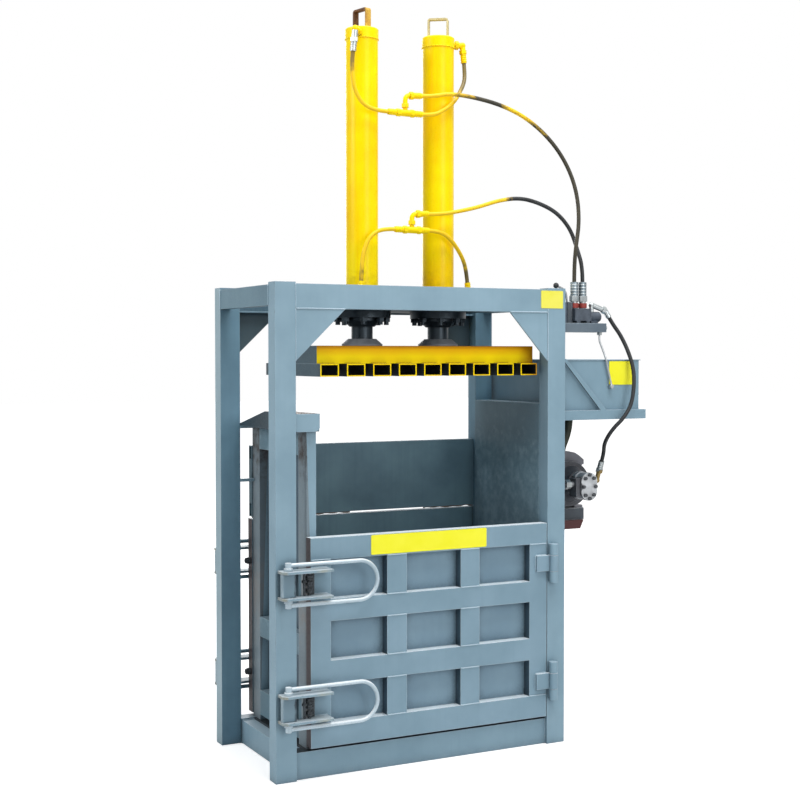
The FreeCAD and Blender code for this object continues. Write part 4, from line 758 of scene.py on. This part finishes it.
for z in (1.351, 1.389):
    for y in (-0.322, 0.322):
        seams.append(((0.652, y - 0.004, z), (0.652, y + 0.004, z)))
weld("frame_weld_beads", "frame", seams)
print("frame seams", len(seams), "metres", round(sum((Vector(b) - Vector(a)).length for a, b in seams), 1))

# %% Seams of the doors
RAIL_EDGES = (0.210, 0.360, 0.450, 0.602, 0.688, 0.841)
STILES = ((-0.180, -0.093), (0.151, 0.239))
OUTER_STILES = ((-0.506, -0.422), (0.478, 0.562))
for body, side in (("front_door", -1), ("rear_door", 1)):
    y = side * (DOOR_FACE_Y + 0.0004)
    seams = [((x0, y, z), (x1, y, z)) for z in RAIL_EDGES for x0, x1 in STILES]
    seams += [((x0, y, z), (x1, y, z)) for z in (RAIL_EDGES[0], RAIL_EDGES[-1]) for x0, x1 in OUTER_STILES]
    for z in HINGE_ZS:
        seams += [((0.5065, y, z - 0.033), (0.5065, y, z + 0.033)),
                  ((0.507, y, z + 0.0335), (0.560, y, z + 0.0335)),
                  ((0.507, y, z - 0.0335), (0.560, y, z - 0.0335))]
    for z in LATCH_ZS:
        for edge in (-0.0555, -0.0445, 0.0445, 0.0555):
            seams.append(((-0.504, y, z + edge), (-0.438, y, z + edge)))
    weld(body + "_weld_beads", body, seams)
print("beads per door", len(seams))

# %% Seams of the platen and the cylinders
platen_low, platen_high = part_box("platen_tubes")
box_low, box_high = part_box("platen_box")
TUBES = 9
TUBE_W = 0.079
tube_pitch = (platen_high[0] - platen_low[0] - TUBE_W) / (TUBES - 1)
z = box_low[2] + 0.0005
seams = []
for i in range(TUBES):
    x = platen_low[0] + tube_pitch * i
    for y in (box_low[1] - 0.0005, box_high[1] + 0.0005):
        seams.append(((x + 0.004, y, z), (x + TUBE_W - 0.004, y, z)))
weld("platen_weld_beads", "platen", seams, platen_enamel)


def ring_seam(centre, radius, steps=28):
    """A closed seam round a tube, as short chords."""
    turns = [2 * math.pi * i / steps for i in range(steps + 1)]
    points = [(centre[0] + radius * math.cos(t), centre[1] + radius * math.sin(t), centre[2])
              for t in turns]
    return list(zip(points, points[1:]))


CYLINDER_XS = (-0.130, 0.226)
BARREL_R = 0.0672
FLANGE_Z, CAP_Z = 1.8265, 2.9115
seams = []
for x in CYLINDER_XS:
    seams += ring_seam((x, 0, FLANGE_Z), BARREL_R)
    seams += ring_seam((x, 0, CAP_Z), BARREL_R)
weld("cylinder_weld_beads", "frame", seams, yellow_enamel)
print("cylinder seams", len(seams))

# %% [markdown]
# ## Bare marker plates
# Three thin lemon-yellow plates sit on the beam, the door and the tank. They are left bare. A sheet
# label is a rounded outline with a real thickness, so each is an outline of straight runs and quarter
# arcs, pushed out by a millimetre and then broken along its front edge.


# %% Plates
def plate_film(name, deep, light):
    """Printed plastic film on a plate: even lemon yellow, a little glossier than the paint."""
    finish = new_finish(name)
    where = add(finish, "TexCoord", output="Object")
    shade = coat(finish, linear(deep), linear(light), patches(finish, where, 90, 0.3, 0.7))
    fine = grain(finish, where, 4, detail=2)
    edge = edges_for_wear_and_highlight(finish, add(finish, "Bevel", {"Radius": 0.001}, samples=4))
    frayed = add(finish, "MapRange", [fine, 0.4, 0.6, 0.1, 0.5])
    shade = coat(finish, shade, linear("#C8B830"), edge, frayed)
    return finish_off(finish, shade, 0.35, fine, 0.0002, 0.2, 0.5, level=0.25)


bright_film = plate_film("bright_plate_film", "#F2EE26", "#F8F43C")
faded_film = plate_film("faded_plate_film", "#E8E24C", "#EEE866")


def marker_plate(name, body, xs, zs, y, film, corner=0.005, thick=0.0014):
    """A bare plate facing the front, its back on y."""
    mesh = bmesh.new()
    outline = []
    for cx, cz, start in ((xs[1] - corner, zs[1] - corner, 0), (xs[0] + corner, zs[1] - corner, 90),
                          (xs[0] + corner, zs[0] + corner, 180), (xs[1] - corner, zs[0] + corner, 270)):
        for step in range(5):
            turn = math.radians(start + 22.5 * step)
            outline.append((cx + corner * math.cos(turn), y, cz + corner * math.sin(turn)))
    face = mesh.faces.new([mesh.verts.new(point) for point in outline])
    pushed = bmesh.ops.extrude_face_region(mesh, geom=[face])
    moved = [v for v in pushed["geom"] if isinstance(v, bmesh.types.BMVert)]
    bmesh.ops.translate(mesh, verts=moved, vec=(0, -thick, 0))
    front = [e for e in mesh.edges if all(v.co.y < y - thick / 2 for v in e.verts)]
    bmesh.ops.bevel(mesh, geom=front, offset=0.0005, segments=2, affect="EDGES")
    return place_piece(name, mesh, body, film, smooth=False)


plates = [
    marker_plate("beam_marker_plate", "frame", (0.530, 0.638), (1.816, 1.889), -0.330, faded_film),
    marker_plate("door_marker_plate", "front_door", (-0.250, 0.271), (0.846, 0.923), -0.330, bright_film),
    marker_plate("tank_marker_plate", "frame", (0.894, 1.020), (1.496, 1.597), -0.300, bright_film)]
print("marker plates", len(plates))

# %% [markdown]
# ## Keeper hardware between the latch plates
# Between each pair of clevis plates on the front door, a painted strip and a threaded stud with nuts
# hold the latch. Turned and hexagonal pieces are both a profile that is carried round an axis: with
# many sides it is turned, with six it is a nut. One helper makes both, and thread is a profile that
# goes in and out every 3 mm.


# %% Turned pieces
def turned(mesh, place, axis, profile, sides=24):
    """Carries a profile of (radius, height) pairs round an axis; six sides make a nut."""
    axis = Vector(axis).normalized()
    side = axis.orthogonal().normalized()
    up = axis.cross(side)
    rings = []
    for radius, height in profile:
        turns = [2 * math.pi * k / sides for k in range(sides)]
        rings.append([mesh.verts.new(Vector(place) + axis * height
                                     + (side * math.cos(t) + up * math.sin(t)) * radius) for t in turns])
    skin(mesh, rings)


def nut_profile(radius, height):
    """A nut with its corners broken at both ends."""
    return [(radius * 0.88, 0), (radius, height * 0.12), (radius, height * 0.88), (radius * 0.88, height)]


def thread_profile(radius, length, pitch=0.003):
    """Thread as a row of ridges; a real 2 mm pitch is drawn as 3 mm, to show."""
    steps = round(length / pitch)
    return [(radius * (1.0 if i % 2 else 0.86), length * i / (2 * steps)) for i in range(2 * steps + 1)]


# %% Keepers
def keeper(name, body, z, side):
    """Painted strip, studs, washers and nuts between one pair of clevis plates."""
    mesh = bmesh.new()
    y = side * (DOOR_FACE_Y + 0.020)
    for x, radius in ((-0.541, 0.0055), (-0.521, 0.0075)):
        turned(mesh, (x, y, z - 0.0445), (0, 0, 1), thread_profile(radius, 0.089), 14)
    for rise in (-0.030, -0.004, 0.020):
        turned(mesh, (-0.521, y, z + rise), (0, 0, 1), nut_profile(0.0145, 0.012), 6)
        turned(mesh, (-0.521, y, z + rise - 0.003), (0, 0, 1), [(0.016, 0), (0.0165, 0.0015), (0.016, 0.003)])
    turned(mesh, (-0.541, y, z + 0.004), (0, 0, 1), nut_profile(0.0105, 0.010), 6)
    for low, high in (((-0.569, 0.3315, -0.0445), (-0.555, 0.356, 0.0445)),
                      ((-0.512, 0.3305, -0.0440), (-0.494, 0.340, 0.0440))):
        corners = [(x, side * y0, z + z0) for x in (low[0], high[0]) for y0 in (low[1], high[1])
                   for z0 in (low[2], high[2])]
        plate = bmesh.ops.convex_hull(mesh, input=[mesh.verts.new(c) for c in corners])
        edges = list({e for f in plate["geom"] if isinstance(f, bmesh.types.BMFace) for e in f.edges
                      if len(e.link_faces) == 2 and e.calc_face_angle() > 1})
        bmesh.ops.bevel(mesh, geom=edges, offset=0.0015, segments=2, affect="EDGES")
    piece = place_piece(name, mesh, body, rusty_steel, smooth=False)
    piece.data.materials.append(beam_enamel)
    for face in piece.data.polygons:
        face.material_index = int(face.center.x < -0.5535)
    return piece


keepers = [keeper("front_door_keeper_" + level, "front_door", z, -1)
           for level, z in zip(("lower", "upper"), LATCH_ZS)]
print("keepers", len(keepers), "faces each", [len(piece.data.polygons) for piece in keepers])

# %% [markdown]
# ## Crimped sleeves
# Each hose end sits in a steel sleeve that was crimped round it, which leaves shallow rings. The sleeve
# itself is in the CAD model, so only the raised rings are added, along the line that the hose leaves
# its fitting by.


# %% Crimp rings
def crimp_rings(name, hose_ends, finish):
    """Four rings on each sleeve; an end is (hose's end, next point, sleeve's radius and length)."""
    mesh = bmesh.new()
    for start, towards, radius, length in hose_ends:
        back = (Vector(start) - Vector(towards)).normalized()
        for k in range(4):
            rise = length * (0.14 + 0.22 * k)
            turned(mesh, Vector(start) + back * rise, back,
                   [(radius, 0), (radius + 0.0011, 0.0012), (radius + 0.0011, 0.0032), (radius, 0.0044)])
    return place_piece(name, mesh, "frame", finish)


SLEEVE_R, SLEEVE_L = 0.012, 0.038
VALVE_SLEEVE_R, VALVE_SLEEVE_L = 0.017, 0.058
PUMP_SLEEVE_R, PUMP_SLEEVE_L = 0.011, 0.030
yellow_ends = []
zinc_ends = []
for node, (length, points) in hose_routes.items():
    first, last = points[:2], points[:-3:-1]
    if node.startswith("jumper"):
        yellow_ends.append((*last, SLEEVE_R, SLEEVE_L))
        ends = zinc_ends if node.endswith("upper_left") else yellow_ends
        ends.append((*first, SLEEVE_R, SLEEVE_L))
    elif node.startswith("feed"):
        yellow_ends.append((*first, SLEEVE_R, SLEEVE_L))
        zinc_ends.append((*last, VALVE_SLEEVE_R, VALVE_SLEEVE_L))
    elif node == "pump_hose":
        zinc_ends.append((*first, PUMP_SLEEVE_R, PUMP_SLEEVE_L))
        zinc_ends.append((*last, SLEEVE_R, SLEEVE_L))
crimp_rings("cylinder_hose_crimps", yellow_ends, yellow_enamel)
crimp_rings("valve_hose_crimps", zinc_ends, zinc_plate)
print("crimped ends", len(yellow_ends) + len(zinc_ends))

# %% [markdown]
# ## Rusty strips in the slot above the rear door
# A thin steel strip was welded behind the slot between the rear panel and the rear door, and its middle
# has been torn out. Both ends are left: bent, bare and rusty. A strip is drawn as a row of short
# lengths whose lower edge wanders a little, like metal that was bent by hand.

# %% Strips
lip_enamel = enamel("rusty_strip", "#5E4C42", "#A39488", rust="#4A2E1E", chips=0.9, shade_and_dirt_share=0.2,
                    dust_and_highlight_share=0.3)


STRIP_LOW_Z, STRIP_HIGH_Z = 0.9368, 0.9560
STRIP_NEAR_Y, STRIP_FAR_Y = 0.2915, 0.2940


def bent_strip(name, start_x, end_x, steps):
    """A strip in short lengths, sagging and bowed by a millimetre or two."""
    mesh = bmesh.new()
    rings = []
    for i in range(steps + 1):
        x = start_x + (end_x - start_x) * i / steps
        low_z = STRIP_LOW_Z + 0.0016 * (1 + math.sin(i * 1.3)) + 0.001 * (1 + math.sin(i * 0.5))
        near, far = (y + 0.001 * math.sin(i * 0.9) for y in (STRIP_NEAR_Y, STRIP_FAR_Y))
        outline = ((near, low_z), (far, low_z), (far, STRIP_HIGH_Z), (near, STRIP_HIGH_Z))
        rings.append([mesh.verts.new((x, y, z)) for y, z in outline])
    skin(mesh, rings)
    return place_piece(name, mesh, "frame", lip_enamel)


strips = [bent_strip("torn_strip_left", -0.504, -0.050, 34), bent_strip("torn_strip_right", 0.312, 0.560, 18)]
print("strips", len(strips))

# %% [markdown]
# ## Floor and light
# The machine stands on a plain pale floor in plain soft light. The strongest lamp hangs above and a
# little in front, and three weaker ones stand at the left, in front and behind. The camera sees the floor
# and the world as white, while the steel is lit by a plain level of light.

# %% Stage
FLOOR_REACH = 40.0
WHITE = (1, 1, 1, 1)
floor_mesh = bpy.data.meshes.new("floor_mesh")
corners = [(x * FLOOR_REACH, y * FLOOR_REACH, 0) for x, y in ((-1, -1), (1, -1), (1, 1), (-1, 1))]
floor_mesh.from_pydata(corners, [], [(0, 1, 2, 3)])
floor = bpy.data.objects.new("floor", floor_mesh)
floor.location.z = -0.001
bpy.context.scene.collection.objects.link(floor)
floor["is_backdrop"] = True
pale_floor = new_finish("pale_floor")
to_camera = add(pale_floor, "LightPath", output="Is Camera Ray")
place = add(pale_floor, "TexCoord", output="Object")
away = add(pale_floor, "VectorMath", [place], output="Value", operation="LENGTH")
glow = add(pale_floor, "MapRange", [away, 1.0, 3.0, 0.50, 0.95])
white_glow = add(pale_floor, "Emission", {"Color": WHITE, "Strength": glow})
matt = add(pale_floor, "BsdfDiffuse", {"Color": (0.82, 0.82, 0.82, 1)})
both = add(pale_floor, "AddShader", [matt, white_glow])
chosen = add(pale_floor, "MixShader", [to_camera, matt, both])
add(pale_floor, "OutputMaterial", {"Surface": chosen})
floor_mesh.materials.append(pale_floor)
print("floor reaches", FLOOR_REACH, "m each way")

# %% World
STEEL_LIGHT = 0.26
world = bpy.data.worlds.new("studio")
world.use_nodes = True
bpy.context.scene.world = world
world.node_tree.nodes.clear()
shown = add(world, "LightPath", output="Is Camera Ray")
for ray in ("Is Glossy Ray", "Is Transmission Ray"):
    shown = add(world, "Math", [shown, add(world, "LightPath", output=ray)], operation="MAXIMUM")
white = add(world, "Background", {"Color": WHITE, "Strength": 1.0})
plain = add(world, "Background", {"Color": WHITE, "Strength": STEEL_LIGHT})
add(world, "OutputWorld", {"Surface": add(world, "MixShader", [shown, plain, white])})
print("world light on the steel", STEEL_LIGHT)


# %% Lamps
def softbox(name, place, aim, size, watts):
    """A square lamp at a place, turned to the point that it lights."""
    lamp = bpy.data.lights.new(name, "AREA")
    lamp.shape = "SQUARE"
    lamp.size = size
    lamp.energy = watts
    box = bpy.data.objects.new(name, lamp)
    box.location = place
    box.rotation_euler = (Vector(aim) - Vector(place)).to_track_quat("-Z", "Y").to_euler()
    bpy.context.scene.collection.objects.link(box)


softbox("front_softbox", (1.2, -6.5, 3.2), (0.1, 0, 1.4), 3.0, 130)
softbox("overhead_softbox", (0.3, -1.6, 6.2), (0.1, -0.3, 1.4), 3.5, 300)
softbox("left_softbox", (-6.0, 0.5, 4.2), (0.2, 0, 1.2), 2.5, 165)
softbox("rear_softbox", (1.0, 6.0, 3.6), (0.1, 0, 1.4), 3.0, 130)
bpy.context.scene.view_settings.view_transform = "Standard"

# %% [markdown]
# ## Sizes
# The visual model has to stay the size of the CAD model, so its box is printed.

# %% Print the visual box
low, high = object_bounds()
print("visual box", [round(v, 3) for v in low], [round(v, 3) for v in high])
